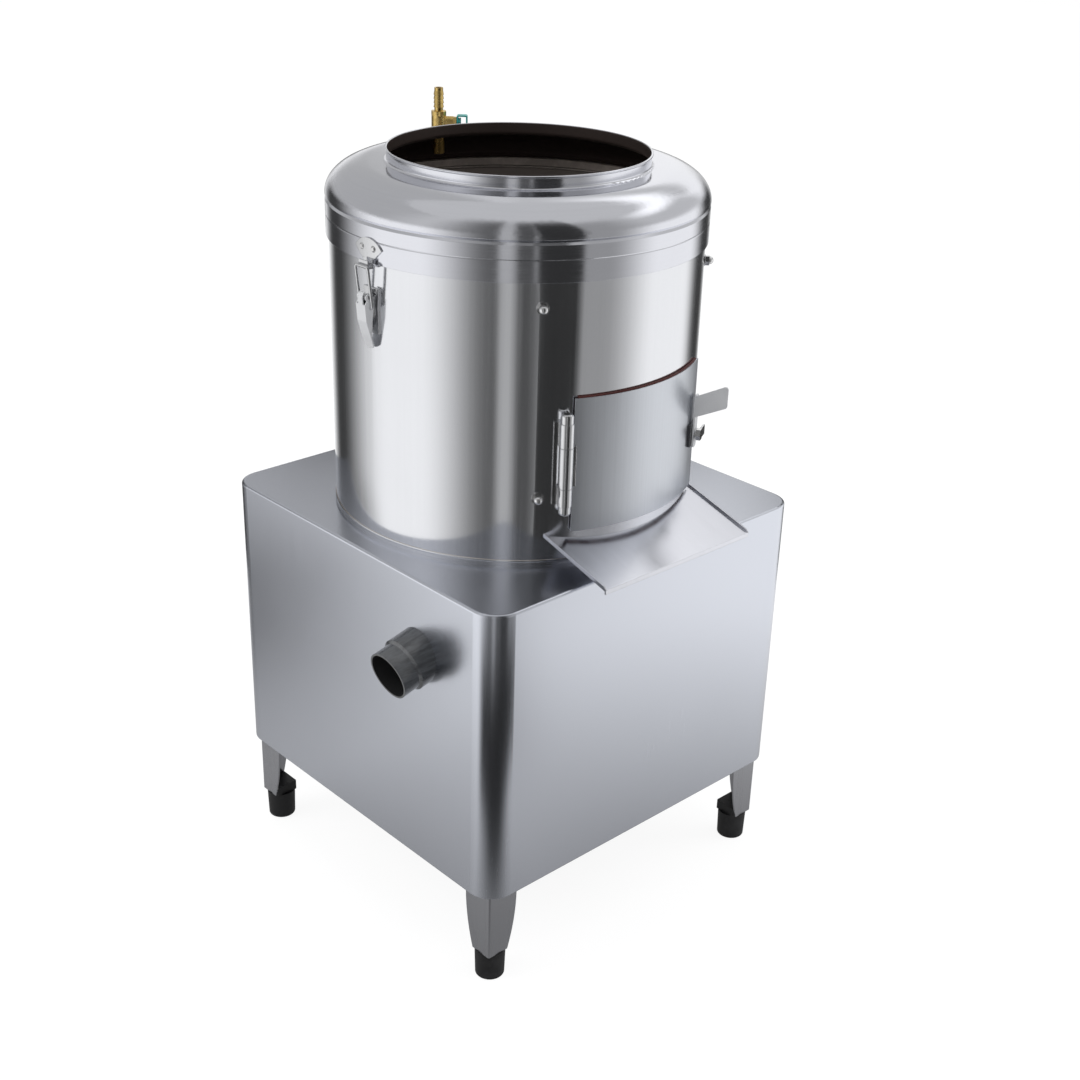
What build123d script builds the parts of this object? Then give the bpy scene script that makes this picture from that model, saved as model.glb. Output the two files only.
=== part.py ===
from build123d import *
import os
from math import asin, cos, degrees, hypot, radians, sin, sqrt, tan

# A floor-standing potato peeling machine, in millimetres.
# The origin is on the floor under the barrel's axis, +Z is up and the discharge door faces -Y.
# Azimuths are degrees about the barrel's axis, from -Y towards +X.

# Clearances and allowances shared by all pieces
cut_overrun = 3.0
seat_gap = 0.1
body_gap = 0.4
running_gap = 0.05
hole_gap = 0.5

# Base housing, a folded sheet box that is open underneath
base_side = 460.0
base_height = 341.0
base_corner_r = 30.0
base_edge_r = 3.0
base_sheet = 1.5
base_flange_w = 52.0
leg_height = 119.0
base_top_z = leg_height + base_height
base_half = base_side / 2
base_inner_half = base_half - base_sheet

# Legs and feet
leg_inset = 12.0
leg_sheet = 2.0
leg_top_w = 39.0
leg_middle_w = 36.0
leg_bottom_w = 27.0
leg_fold_r = 2.2
foot_height = 35.0
foot_block_h = 12.0
foot_block_w = 28.0
foot_top_r = 17.2
foot_bottom_r = 16.2
foot_edge_r = 2.0
foot_block_edge_r = 1.5
leg_middle_share = 0.44
leg_middle_z = foot_height + (leg_height - foot_height) * leg_middle_share
leg_face = base_half - leg_inset
foot_centre = leg_face - leg_sheet - foot_block_w / 2

# Barrel, a rolled sheet tube with a beaded foot and rim
barrel_r = 201.0
barrel_sheet = 1.2
barrel_rise = 330.0
rim_bead_r = 1.9
foot_bead_r = 1.6
foot_bead_lift = 5.5
barrel_top_z = base_top_z + barrel_rise
barrel_inner_r = barrel_r - barrel_sheet

# Doorway and door, both curved round the barrel
door_left_az = -24.9
door_right_az = 31.0
door_bottom_rise = 38.5
door_top_rise = 183.5
door_bottom_z = base_top_z + door_bottom_rise
door_top_z = base_top_z + door_top_rise
door_sheet = 1.5
door_side_lap_az = 4.0
door_latch_lap_az = 8.0
door_bottom_lap = 6.0
door_top_lap = 10.0
door_stand_off = 2.6
seal_top_reach = 1.3
seal_bottom_drop = 0.6
seal_side_az = 1.2
door_inner_r = barrel_r + door_stand_off
door_outer_r = door_inner_r + door_sheet
doorway_left_az = door_left_az + door_side_lap_az
doorway_right_az = door_right_az - door_latch_lap_az
doorway_bottom_z = door_bottom_z + door_bottom_lap
doorway_top_z = door_top_z - door_top_lap

# Door hinge
hinge_az = -27.3
hinge_stand_off = 7.5
hinge_knuckle_r = 7.2
hinge_pin_r = 3.0
hinge_rise = 31.5
hinge_length = 89.5
hinge_lower_knuckle = 19.5
hinge_upper_knuckle = 25.5
hinge_finial_r = 6.4
hinge_finial_h = 10.5
hinge_leaf_t = 2.0
hinge_leaf_w = 12.0
hinge_web_t = 2.0
door_leaf_w = 4.0
hinge_axis_r = barrel_r + hinge_stand_off
hinge_bottom_z = door_bottom_z + hinge_rise
hinge_top_z = hinge_bottom_z + hinge_length
hinge_lower_split_z = hinge_bottom_z + hinge_lower_knuckle
hinge_upper_split_z = hinge_top_z - hinge_upper_knuckle

# Door latch: a turning lever on the door and a keeper on the barrel
latch_edge_az = 3.5
latch_rise = 63.5
latch_az = door_right_az - latch_edge_az
latch_z = door_bottom_z + latch_rise
latch_base_w = 24.0
latch_base_h = 26.0
latch_base_t = 2.8
latch_bolt_r = 4.0
latch_bolt_head_r = 6.5
latch_bolt_head_t = 1.2
latch_nut_af = 12.0
latch_nut_t = 5.0
latch_strap_w = 12.0
latch_strap_t = 2.0
latch_tail = 15.0
latch_reach = 45.0
latch_tab_t = 2.2
latch_tab_h = 25.0
latch_tab_reach = 36.0
latch_tab_corner_r = 3.0
latch_tab_rise_angle = 24.0
keeper_near = 20.0
keeper_w = 12.0
keeper_t = 2.2
keeper_riser_t = 3.5
keeper_foot_h = 14.0
keeper_foot_t = 1.6
keeper_play = 1.5
latch_base_out_r = door_outer_r + latch_base_t
latch_strap_in_r = latch_base_out_r + body_gap
latch_strap_out_r = latch_strap_in_r + latch_strap_t

# Discharge chute under the door
chute_half_w = 109.0
chute_sheet = 1.5
chute_overhang = 32.5
chute_lip_rise = 7.5
chute_inner_drop = 4.0
chute_flange_h = 3.6
chute_lip_fold = 5.0
chute_lip_y = -base_half - chute_overhang
chute_lip_z = base_top_z + chute_lip_rise
chute_inner_z = door_bottom_z - chute_inner_drop
chute_inner_y = -sqrt(barrel_r**2 - chute_half_w**2)
chute_rise_share = (chute_inner_z - chute_lip_z) / (chute_inner_y - chute_lip_y)

# Barrel floor pan with its drain
pan_step = 29.0
pan_sheet = 1.5
pan_depth = 30.0
pan_fall = 5.0
pan_collar_r = 40.0
pan_collar_drop = 8.0
spigot_r = 24.0
spigot_sheet = 1.5
spigot_length = 29.0
drain_az = -35.3
drain_margin = 33.55
drain_drop = 87.0
pan_r = barrel_r - pan_step
pan_collar_z = base_top_z - pan_collar_drop
pan_floor_z = base_top_z - pan_depth
drain_x = (pan_r - drain_margin) * sin(radians(drain_az))
drain_y = -(pan_r - drain_margin) * cos(radians(drain_az))
drain_z = base_top_z - drain_drop

# Drain elbow, spout and locknut
elbow_r = 28.0
elbow_bore_r = spigot_r + seat_gap
elbow_bend_r = 32.0
elbow_pipe_r = 21.0
elbow_top_gap = 4.0
elbow_pipe_bore_r = 17.5
elbow_middle_angle = 45.0
spout_fall_angle = 15.0
spout_length = 40.7
spout_root = 10.0
spout_collar_r = 30.0
spout_collar_l = 19.0
spout_step_l = 2.5
spout_body_r = 27.0
spout_bore_r = 24.6
spout_floor_l = 14.0
spout_socket_l = 14.0
spout_pipe_bore_l = 21.0
spout_out = spout_length * cos(radians(spout_fall_angle)) + spout_body_r * sin(radians(spout_fall_angle))
locknut_r = 29.0
locknut_t = 9.0
drain_hole_gap = 0.6

# Internal frame, drive plate and bearing housing
rail_w = 36.0
rail_h = 25.0
rail_t = 3.0
rail_front_y = -62.0
rail_rear_y = 182.0
rail_rise = 111.0
rail_top_z = leg_height + rail_rise
plate_t = 4.0
plate_left_x = -80.0
plate_right_x = 200.0
bolt_m8_r = 4.0
bolt_m8_head_r = 6.5
bolt_m8_head_t = 5.5
bolt_m8_grip = 7.0
shaft_r = 12.5
bearing_r = 26.0
bearing_w = 15.0
bearing_shoulder = 3.0
housing_tube_r = 35.0
housing_flange_r = 60.0
housing_flange_t = 10.0
housing_top_drop = 13.0
housing_bolt_circle_r = 48.0
housing_bolt_count = 4
seal_w = 7.0
housing_top_z = base_top_z - housing_top_drop
plate_top_z = rail_top_z + plate_t

# Drive shaft, peeling disc and its nut
shaft_tip_r = 10.0
shaft_shoulder_drop = 4.0
shaft_tip_rise = 38.0
shaft_bottom_rise = 53.0
disc_side_gap = 8.7
disc_rise = 22.0
disc_t = 6.0
disc_rim_h = 14.0
disc_rim_w = 7.0
disc_hub_r = 27.0
disc_hub_h = 5.0
wave_count = 3
wave_w = 76.0
wave_h = 9.0
wave_start_r = 32.0
wave_rim_gap = 14.0
paddle_t = 6.0
paddle_start_r = 50.0
paddle_rim_gap = 30.0
paddle_drop = 37.0
paddle_count = 2
disc_nut_af = 30.0
disc_nut_t = 9.0
disc_nut_dome_r = 13.0
shaft_shoulder_z = base_top_z - shaft_shoulder_drop
shaft_tip_z = base_top_z + shaft_tip_rise
shaft_bottom_z = leg_height + shaft_bottom_rise
disc_top_z = base_top_z + disc_rise
disc_hub_top_z = disc_top_z + disc_hub_h

# Belt drive
pulley_pitch_r = 95.0
pulley_ratio = 4.0
groove_outer_half = 6.8
groove_inner_half = 3.6
groove_lip = 5.0
groove_depth = 12.0
pulley_rim_w = 20.0
pulley_hub_r = 25.0
pulley_hub_w = 26.0
pulley_web_w = 8.0
pulley_rise = 69.0
pulley_z = leg_height + pulley_rise
pulley_hole_r = 17.0
pulley_hole_circle_r = 56.0
pulley_hole_count = 5
pulley_rim_t = 6.0
belt_lip = 3.6
belt_depth = 8.0
belt_outer_half = 5.6
belt_inner_half = 3.6
motor_pitch_r = pulley_pitch_r / pulley_ratio
motor_hub_r = 14.0

# Motor, standing on the drive plate
motor_x = 110.0
motor_y = 110.0
motor_flange_r = 80.0
motor_flange_t = 10.0
motor_body_r = 66.0
motor_pan_gap = 20.0
motor_fin_count = 20
motor_fin_t = 2.5
motor_fin_h = 7.0
motor_bell_h = 12.0
motor_cowl_r = 70.0
motor_cowl_h = 28.0
motor_cowl_edge_r = 8.0
motor_cavity_r = 37.0
motor_cavity_end = 12.0
motor_shaft_r = 9.5
motor_core_r = 36.0
motor_core_margin = 11.0
motor_spigot_r = 40.0
motor_bolt_circle_r = 65.0
motor_bolt_count = 4
motor_box_w = 54.0
motor_box_h = 60.0
motor_box_t = 26.0
motor_top_z = pan_floor_z - motor_pan_gap
motor_body_h = motor_top_z - motor_cowl_h - motor_bell_h - motor_flange_t - plate_top_z
motor_core_h = motor_body_h - 2 * (motor_cavity_end + motor_core_margin)

# Abrasive liner panels and their bolts
liner_t = 3.0
liner_rise = 32.0
liner_top_drop = 34.0
liner_over_door_lap = 6.0
liner_door_margin_az = 3.8
liner_left_joint_az = -152.0
liner_joint_az = 0.4
liner_front_left_az = -38.0
liner_front_right_az = 49.8
liner_bolt_low_rise = 76.6
liner_bolt_high_drop = 53.2
liner_front_bolt_az = -34.8
liner_right_bolt_az = 45.5
liner_hidden_bolt_az = 66.0
liner_side_bolt_az = 131.0
liner_rear_bolt_az = 204.0
liner_joint_bolt_az = -148.0
bolt_r = 3.0
bolt_head_r = 6.0
bolt_head_t = 2.6
washer_r = 6.4
washer_t = 1.2
nut_af = 10.0
nut_t = 4.6
nut_dome_r = 4.4
liner_outer_r = barrel_inner_r - seat_gap
liner_inner_r = liner_outer_r - liner_t
liner_bottom_z = base_top_z + liner_rise
liner_top_z = barrel_top_z - liner_top_drop
liner_over_door_z = doorway_top_z + liner_over_door_lap
liner_bolt_low_z = base_top_z + liner_bolt_low_rise
liner_bolt_high_z = barrel_top_z - liner_bolt_high_drop
disc_r = liner_inner_r - disc_side_gap
wave_length = disc_r - wave_rim_gap - wave_start_r
paddle_end_r = disc_r - paddle_rim_gap

# Cover: skirt, dome and feed mouth
cover_overhang = 3.0
cover_sheet = 1.2
cover_lap = 28.0
cover_skirt_rise = 8.6
cover_line_drop = 6.0
cover_line_half_h = 0.9
cover_line_depth = 0.4
cover_groove_rise = 11.2
cover_groove_depth = 1.9
dome_overhang = 3.2
dome_low_rise = 13.8
dome_round_w = 48.0
dome_round_h = 32.7
dome_flat_rise = 0.5
mouth_margin = 61.5
mouth_neck_h = 13.5
mouth_fillet_r = 3.0
mouth_lip_r = 1.3
gasket_w = 5.5
cover_skirt_r = barrel_r + cover_overhang
cover_bottom_z = barrel_top_z - cover_lap
cover_skirt_top_z = barrel_top_z + cover_skirt_rise
cover_line_z = barrel_top_z - cover_line_drop
cover_groove_z = barrel_top_z + cover_groove_rise
dome_r = barrel_r + dome_overhang
dome_low_z = barrel_top_z + dome_low_rise
dome_centre_r = dome_r - dome_round_w
dome_shoulder_z = dome_low_z + dome_round_h
mouth_r = barrel_r - mouth_margin
neck_foot_r = mouth_r + mouth_fillet_r
neck_foot_z = dome_shoulder_z + dome_flat_rise
mouth_top_z = neck_foot_z + mouth_neck_h
gasket_top_z = cover_skirt_top_z

# Draw latches that hold the cover down, with their keepers
draw_left_az = -88.0
draw_right_az = 92.0
draw_azimuths = {"left": draw_left_az, "right": draw_right_az}
draw_pivot_out = 10.0
draw_pivot_drop = 61.0
draw_pin_r = 2.0
draw_base_half_w = 11.0
draw_base_below = 39.0
draw_base_above = 8.0
draw_base_t = 1.6
draw_ear_t = 1.4
draw_ear_r = 3.9
draw_ear_low = 27.0
draw_ear_high = 7.0
draw_lever_half_w = 7.2
draw_plate_top = 7.0
draw_lever_sheet = 1.4
draw_lever_curl_r = 5.7
draw_lever_knee_out = 3.4
draw_lever_knee_drop = 25.0
draw_lever_end_in = 6.0
draw_lever_end_drop = 55.0
draw_flange_in = 4.4
draw_flange_drop = 45.0
draw_curl_start_angle = 75.0
draw_bail_pivot_in = 2.5
draw_bail_pivot_drop = 11.0
draw_bail_top_out = 2.5
draw_bail_top_rise = 31.5
draw_bail_wire_r = 1.6
draw_bail_gap = 0.8
draw_bail_bend_r = 2.6
draw_flange_eye_r = 3.6
draw_rivet_low_drop = 34.0
draw_rivet_high_drop = 18.0
draw_rivet_r = 1.8
draw_rivet_head_r = 3.4
draw_rivet_head_t = 1.4
hook_half_w = 7.0
hook_t = 1.5
hook_reach = 7.5
hook_drop = 4.5
hook_lip_h = 8.5
keeper_plate_half_w = 20.0
keeper_plate_wide_rise = 15.0
keeper_plate_top_rise = 25.5
keeper_plate_low_rise = 3.0
keeper_rivet_rise = 15.5
keeper_rivet_half = 8.7
draw_pivot_r = barrel_r + draw_pivot_out
draw_pivot_z = barrel_top_z - draw_pivot_drop
draw_base_bottom_z = draw_pivot_z - draw_base_below
draw_base_top_z = draw_pivot_z + draw_base_above
draw_ear_in = draw_lever_half_w - draw_lever_sheet - body_gap - draw_ear_t
draw_ear_low_z = draw_pivot_z - draw_ear_low
draw_ear_high_z = draw_pivot_z - draw_ear_high
draw_tongue_half_w = draw_ear_in - body_gap
draw_plate_top_z = draw_pivot_z - draw_plate_top
draw_lever_knee_r = draw_pivot_r + draw_lever_knee_out
draw_lever_knee_z = draw_pivot_z - draw_lever_knee_drop
draw_lever_end_r = draw_pivot_r - draw_lever_end_in
draw_lever_end_z = draw_pivot_z - draw_lever_end_drop
draw_flange_in_r = draw_pivot_r - draw_flange_in
draw_flange_low_z = draw_pivot_z - draw_flange_drop
draw_bail_pivot_r = draw_pivot_r - draw_bail_pivot_in
draw_bail_pivot_z = draw_pivot_z - draw_bail_pivot_drop
draw_bail_top_r = draw_pivot_r + draw_bail_top_out
draw_bail_top_z = draw_pivot_z + draw_bail_top_rise
draw_bail_half_w = draw_lever_half_w + draw_bail_gap + draw_bail_wire_r
draw_rivet_z_low = draw_pivot_z - draw_rivet_low_drop
draw_rivet_z_high = draw_pivot_z - draw_rivet_high_drop
hook_lip_r = cover_skirt_r + hook_reach
hook_bottom_z = cover_bottom_z - hook_drop
hook_lip_z = hook_bottom_z + hook_lip_h
keeper_plate_wide_z = cover_bottom_z + keeper_plate_wide_rise
keeper_plate_top_z = cover_bottom_z + keeper_plate_top_rise
keeper_plate_low_z = cover_bottom_z + keeper_plate_low_rise
keeper_rivet_z = cover_bottom_z + keeper_rivet_rise
draw_plate_top_r = draw_pivot_r + draw_lever_curl_r + (draw_plate_top_z - draw_pivot_z) * (
    (draw_pivot_r + draw_lever_curl_r - draw_lever_knee_r) / (draw_pivot_z - draw_lever_knee_z)
)
draw_flange_low_r = draw_lever_end_r - draw_lever_sheet / 2 + (draw_flange_low_z - draw_lever_end_z) * (
    (draw_lever_knee_r - draw_lever_end_r) / (draw_lever_knee_z - draw_lever_end_z)
)
keeper_rivet_az = degrees(asin(keeper_rivet_half / cover_skirt_r))
cover_rivet_azimuths = [
    azimuth + way * keeper_rivet_az for azimuth in draw_azimuths.values() for way in (-1, 1)
]

# Water inlet on the cover: ball valve, hose barb and handle
valve_az = 171.0
valve_margin = 34.0
valve_below = 23.0
valve_shank_r = 6.5
valve_foot_rise = 3.5
valve_foot_h = 12.0
valve_foot_af = 19.0
valve_body_r = 8.2
valve_stem_rise = 13.0
valve_top_hex_rise = 19.0
valve_top_hex_h = 5.0
valve_top_hex_af = 15.5
valve_bore_r = 3.4
valve_boss_r = 5.2
valve_boss_reach = 16.6
valve_gland_t = 3.4
valve_stem_az = 47.0
valve_stem_r = 2.4
valve_stem_reach = 24.5
valve_stem_depth = 6.0
barb_rise = 49.5
barb_r = 4.9
barb_ridge_r = 5.8
barb_ridge_count = 4
barb_ridge_pitch = 4.6
barb_first_ridge = 4.0
barb_thread_l = 6.0
handle_t = 1.6
handle_arm_w = 9.0
handle_offset = 12.0
handle_top_rise = 7.0
handle_end_drop = 11.5
handle_bend_r = 1.8
handle_nut_af = 7.0
handle_nut_t = 3.0
valve_axis_r = barrel_r - valve_margin
valve_bottom_z = neck_foot_z - valve_below
valve_foot_top_z = neck_foot_z + valve_foot_rise
valve_stem_z = neck_foot_z + valve_stem_rise
valve_top_hex_z = neck_foot_z + valve_top_hex_rise
barb_top_z = neck_foot_z + barb_rise
handle_top_z = valve_stem_z + handle_top_rise
handle_end_z = valve_stem_z - handle_end_drop

# Switch box with start and stop buttons, and the cable gland
switch_y = -40.0
switch_drop = 90.0
switch_w = 60.0
switch_h = 100.0
switch_wall = 2.5
switch_edge_r = 5.0
button_spacing = 44.0
button_r = 11.0
button_well_depth = 16.0
button_out = 7.0
button_travel = 4.0
button_edge_r = 1.5
stop_flare_r = 14.0
stop_flare_t = 4.0
wire_hole_r = 8.0
gland_x = -130.0
gland_rise = 56.0
gland_r = 8.0
gland_bore_r = 4.5
gland_nut_r = 11.5
gland_hex_t = 6.0
gland_inside = 9.0
gland_dome_share = 0.85
switch_z = base_top_z - switch_drop
switch_depth = spout_out - button_out - stop_flare_t
gland_z = leg_height + gland_rise
gland_out = chute_overhang


def radial(azimuth):
    """The outward direction at an azimuth."""
    return Vector(sin(radians(azimuth)), -cos(radians(azimuth)), 0)


def tangent(azimuth):
    """The level direction at an azimuth in which azimuths grow."""
    return Vector(cos(radians(azimuth)), sin(radians(azimuth)), 0)


def side_plane(azimuth, shift=0):
    """Upright plane through the barrel's axis: x outward, y up, moved along the tangent."""
    return Plane(
        origin=tangent(azimuth) * shift,
        x_dir=radial(azimuth),
        z_dir=tangent(azimuth) * -1,
    )


def face_plane(azimuth, radius, height):
    """Plane that faces outward at a radius and height: x along the tangent, y up."""
    origin = radial(azimuth) * radius + Vector(0, 0, height)
    return Plane(origin=origin, x_dir=tangent(azimuth), z_dir=radial(azimuth))


def band(inner_r, outer_r, start_az, end_az):
    """A curved strip of wall, seen from above, as a sketch."""
    with BuildSketch() as strip:
        with BuildLine():
            outer = CenterArc((0, 0), outer_r, start_az - 90, end_az - start_az)
            inner = CenterArc((0, 0), inner_r, start_az - 90, end_az - start_az)
            Line(outer @ 0, inner @ 0)
            Line(outer @ 1, inner @ 1)
        make_face()
    return strip.sketch


def ring(inner_r, outer_r):
    """Draws a flat ring in the active sketch."""
    Circle(outer_r)
    Circle(inner_r, mode=Mode.SUBTRACT)


def write_part(piece, label):
    """Labels a finished piece and writes it to its own file."""
    piece.part.label = label
    export_step(piece.part, f"parts/{label}.step")


os.makedirs("parts", exist_ok=True)

# Base housing
drain_hole_r = elbow_pipe_r + drain_hole_gap
with BuildPart() as base_housing:
    with BuildSketch(Plane.XY.offset(leg_height)):
        RectangleRounded(base_side, base_side, base_corner_r)
    extrude(amount=base_height)
    fillet(base_housing.edges().group_by(Axis.Z)[-1], base_edge_r)
    offset(amount=-base_sheet, openings=base_housing.faces().sort_by(Axis.Z)[0])
    with BuildSketch(Plane.XY.offset(leg_height)):
        RectangleRounded(base_side - base_sheet, base_side - base_sheet, base_corner_r)
        flange_opening = base_side - 2 * base_flange_w
        RectangleRounded(flange_opening, flange_opening, base_corner_r, mode=Mode.SUBTRACT)
    extrude(amount=base_sheet)
    with BuildSketch(Plane.XY.offset(base_top_z + cut_overrun)):
        Circle(pan_r + hole_gap)
    extrude(amount=-base_sheet - 2 * cut_overrun, mode=Mode.SUBTRACT)
    with BuildSketch(Plane.YZ.offset(-base_half - cut_overrun)):
        with Locations((drain_y, drain_z)):
            Circle(drain_hole_r)
    extrude(amount=base_sheet + 2 * cut_overrun, mode=Mode.SUBTRACT)
    with BuildSketch(Plane.YZ.offset(base_half + cut_overrun)):
        with Locations((switch_y, switch_z)):
            Circle(wire_hole_r)
    extrude(amount=-base_sheet - 2 * cut_overrun, mode=Mode.SUBTRACT)
    with BuildSketch(Plane.XZ.offset(-base_half - cut_overrun)):
        with Locations((gland_x, gland_z)):
            Circle(gland_r + seat_gap)
    extrude(amount=base_sheet + 2 * cut_overrun, mode=Mode.SUBTRACT)
write_part(base_housing, "base_housing")


def leg_wing():
    """One tapered wing of a leg, from its fold, as a sketch."""
    with BuildSketch() as wing:
        with BuildLine():
            Line((0, foot_height), (0, leg_height))
            Line((0, leg_height), (leg_top_w, leg_height))
            ThreePointArc(
                (leg_top_w, leg_height), (leg_middle_w, leg_middle_z), (leg_bottom_w, foot_height)
            )
            Line((leg_bottom_w, foot_height), (0, foot_height))
        make_face()
    return wing.sketch


def make_leg(label, side_x, side_y):
    """One pressed angle leg, welded under the housing's flange."""
    corner = (side_x * leg_face, side_y * leg_face, 0)
    along_x = Plane(origin=corner, x_dir=(-side_x, 0, 0), z_dir=(0, side_x, 0))
    along_y = Plane(origin=corner, x_dir=(0, -side_y, 0), z_dir=(-side_y, 0, 0))
    with BuildPart() as leg:
        with BuildSketch(along_x):
            add(leg_wing())
        extrude(amount=-leg_sheet * side_x * side_y)
        with BuildSketch(along_y):
            add(leg_wing())
        extrude(amount=leg_sheet * side_x * side_y)
        fold = leg.edges().filter_by(Axis.Z).sort_by_distance((0, 0, leg_middle_z))[-1]
        fillet(fold, leg_fold_r)
    write_part(leg, label)


def make_foot(label, side_x, side_y):
    """One foot: a round pad and a square block that sits inside the leg's fold."""
    centre = (side_x * foot_centre, side_y * foot_centre)
    with BuildPart() as foot:
        with BuildSketch():
            with Locations(centre):
                Circle(foot_bottom_r)
        with BuildSketch(Plane.XY.offset(foot_height)):
            with Locations(centre):
                Circle(foot_top_r)
        loft()
        fillet(foot.edges().group_by(Axis.Z)[0], foot_edge_r)
        with BuildSketch(Plane.XY.offset(foot_height)):
            with Locations(centre):
                RectangleRounded(foot_block_w, foot_block_w, foot_block_edge_r)
        extrude(amount=foot_block_h)
    write_part(foot, label)


for depth_name, side_y in (("front", -1), ("rear", 1)):
    for side_name, side_x in (("left", -1), ("right", 1)):
        make_leg(f"leg_{depth_name}_{side_name}", side_x, side_y)
        make_foot(f"foot_{depth_name}_{side_name}", side_x, side_y)

# Frame rails, from wall to wall inside the housing
with BuildPart() as frame_rails:
    with BuildSketch(Plane.YZ.offset(-base_inner_half)):
        with Locations(
            (rail_front_y, rail_top_z - rail_h / 2), (rail_rear_y, rail_top_z - rail_h / 2)
        ):
            Rectangle(rail_w, rail_h)
        with Locations(
            (rail_front_y, rail_top_z - rail_h / 2 - rail_t),
            (rail_rear_y, rail_top_z - rail_h / 2 - rail_t),
        ):
            Rectangle(rail_w - 2 * rail_t, rail_h, mode=Mode.SUBTRACT)
    extrude(amount=2 * base_inner_half)
write_part(frame_rails, "frame_rails")

# Places of the bolts under the bearing housing and the motor
m8_places = []
for centre_x, centre_y, circle_r, count in (
    (0, 0, housing_bolt_circle_r, housing_bolt_count),
    (motor_x, motor_y, motor_bolt_circle_r, motor_bolt_count),
):
    for step in range(count):
        spot = radial((step + 1 / 2) * 360 / count) * circle_r
        m8_places.append((centre_x + spot.X, centre_y + spot.Y))

# Drive plate, which carries the bearing housing and the motor
plate_front_y = rail_front_y - rail_w / 2
plate_rear_y = rail_rear_y + rail_w / 2
with BuildPart() as drive_plate:
    with BuildSketch(Plane.XY.offset(rail_top_z)):
        with Locations(((plate_left_x + plate_right_x) / 2, (plate_front_y + plate_rear_y) / 2)):
            Rectangle(plate_right_x - plate_left_x, plate_rear_y - plate_front_y)
        Circle(bearing_r - bearing_shoulder, mode=Mode.SUBTRACT)
        with Locations((motor_x, motor_y)):
            Circle(motor_spigot_r, mode=Mode.SUBTRACT)
        with Locations(*m8_places):
            Circle(bolt_m8_r, mode=Mode.SUBTRACT)
    extrude(amount=plate_t)
write_part(drive_plate, "drive_plate")

# Bearing housing, flanged on the drive plate and standing up through the pan
upper_seat_z = housing_top_z - seal_w - bearing_w
with BuildPart() as bearing_housing:
    with BuildSketch(Plane.XY.offset(plate_top_z)):
        Circle(housing_flange_r)
    extrude(amount=housing_flange_t)
    with BuildSketch(Plane.XY.offset(plate_top_z)):
        with Locations(*m8_places[:housing_bolt_count]):
            Circle(bolt_m8_r)
    extrude(amount=bolt_m8_grip, mode=Mode.SUBTRACT)
    with BuildSketch(Plane.XY.offset(plate_top_z)):
        Circle(housing_tube_r)
    extrude(amount=housing_top_z - plate_top_z)
    with BuildSketch(Plane.XY.offset(plate_top_z)):
        Circle(bearing_r)
    extrude(amount=bearing_w, mode=Mode.SUBTRACT)
    with BuildSketch(Plane.XY.offset(upper_seat_z)):
        Circle(bearing_r)
    extrude(amount=bearing_w + seal_w, mode=Mode.SUBTRACT)
    with BuildSketch(Plane.XY.offset(plate_top_z)):
        Circle(bearing_r - bearing_shoulder)
    extrude(amount=housing_top_z - plate_top_z, mode=Mode.SUBTRACT)
write_part(bearing_housing, "bearing_housing")

with BuildPart() as shaft_bearings:
    for seat_z in (plate_top_z, upper_seat_z):
        with BuildSketch(Plane.XY.offset(seat_z)):
            ring(shaft_r + running_gap, bearing_r)
        extrude(amount=bearing_w)
write_part(shaft_bearings, "shaft_bearings")

with BuildPart() as shaft_seal:
    with BuildSketch(Plane.XY.offset(housing_top_z - seal_w)):
        ring(shaft_r + running_gap, bearing_r)
    extrude(amount=seal_w)
write_part(shaft_seal, "shaft_seal")

# Places of the liner's bolts: azimuth and height
liner_bolt_places = [
    (liner_front_bolt_az, liner_bolt_low_z),
    (liner_front_bolt_az, liner_bolt_high_z),
    (liner_right_bolt_az, liner_bolt_high_z),
    (liner_hidden_bolt_az, liner_bolt_low_z),
    (liner_side_bolt_az, liner_bolt_low_z),
    (liner_side_bolt_az, liner_bolt_high_z),
    (liner_rear_bolt_az, liner_bolt_low_z),
    (liner_rear_bolt_az, liner_bolt_high_z),
    (liner_joint_bolt_az, liner_bolt_low_z),
    (liner_joint_bolt_az, liner_bolt_high_z),
]


def cut_bolt_holes(places):
    """Cuts the liner bolts' holes through the wall of the active piece."""
    for azimuth, height in places:
        with BuildSketch(face_plane(azimuth, liner_inner_r - liner_t, height)) as hole:
            Circle(bolt_r + seat_gap)
        extrude(hole.sketch, amount=4 * liner_t, mode=Mode.SUBTRACT)


# Barrel shell with its doorway
with BuildPart() as barrel_shell:
    with BuildSketch(Plane.XY.offset(base_top_z)):
        ring(barrel_inner_r, barrel_r)
    extrude(amount=barrel_top_z - rim_bead_r - base_top_z)
    with BuildSketch(Plane.XZ):
        with Locations((barrel_r - barrel_sheet / 2, barrel_top_z - rim_bead_r)):
            Circle(rim_bead_r)
        with Locations((barrel_r - barrel_sheet / 2, base_top_z + foot_bead_lift)):
            Circle(foot_bead_r)
    revolve(axis=Axis.Z)
    with BuildSketch(Plane.XY.offset(doorway_bottom_z)):
        add(
            band(
                barrel_inner_r - cut_overrun,
                barrel_r + cut_overrun,
                doorway_left_az,
                doorway_right_az,
            )
        )
    extrude(amount=doorway_top_z - doorway_bottom_z, mode=Mode.SUBTRACT)
    cut_bolt_holes(liner_bolt_places)
    for azimuth in draw_azimuths.values():
        for height in (draw_rivet_z_low, draw_rivet_z_high):
            with BuildSketch(face_plane(azimuth, barrel_inner_r - cut_overrun, height)):
                Circle(draw_rivet_r)
            extrude(amount=3 * cut_overrun, mode=Mode.SUBTRACT)
write_part(barrel_shell, "barrel_shell")

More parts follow.
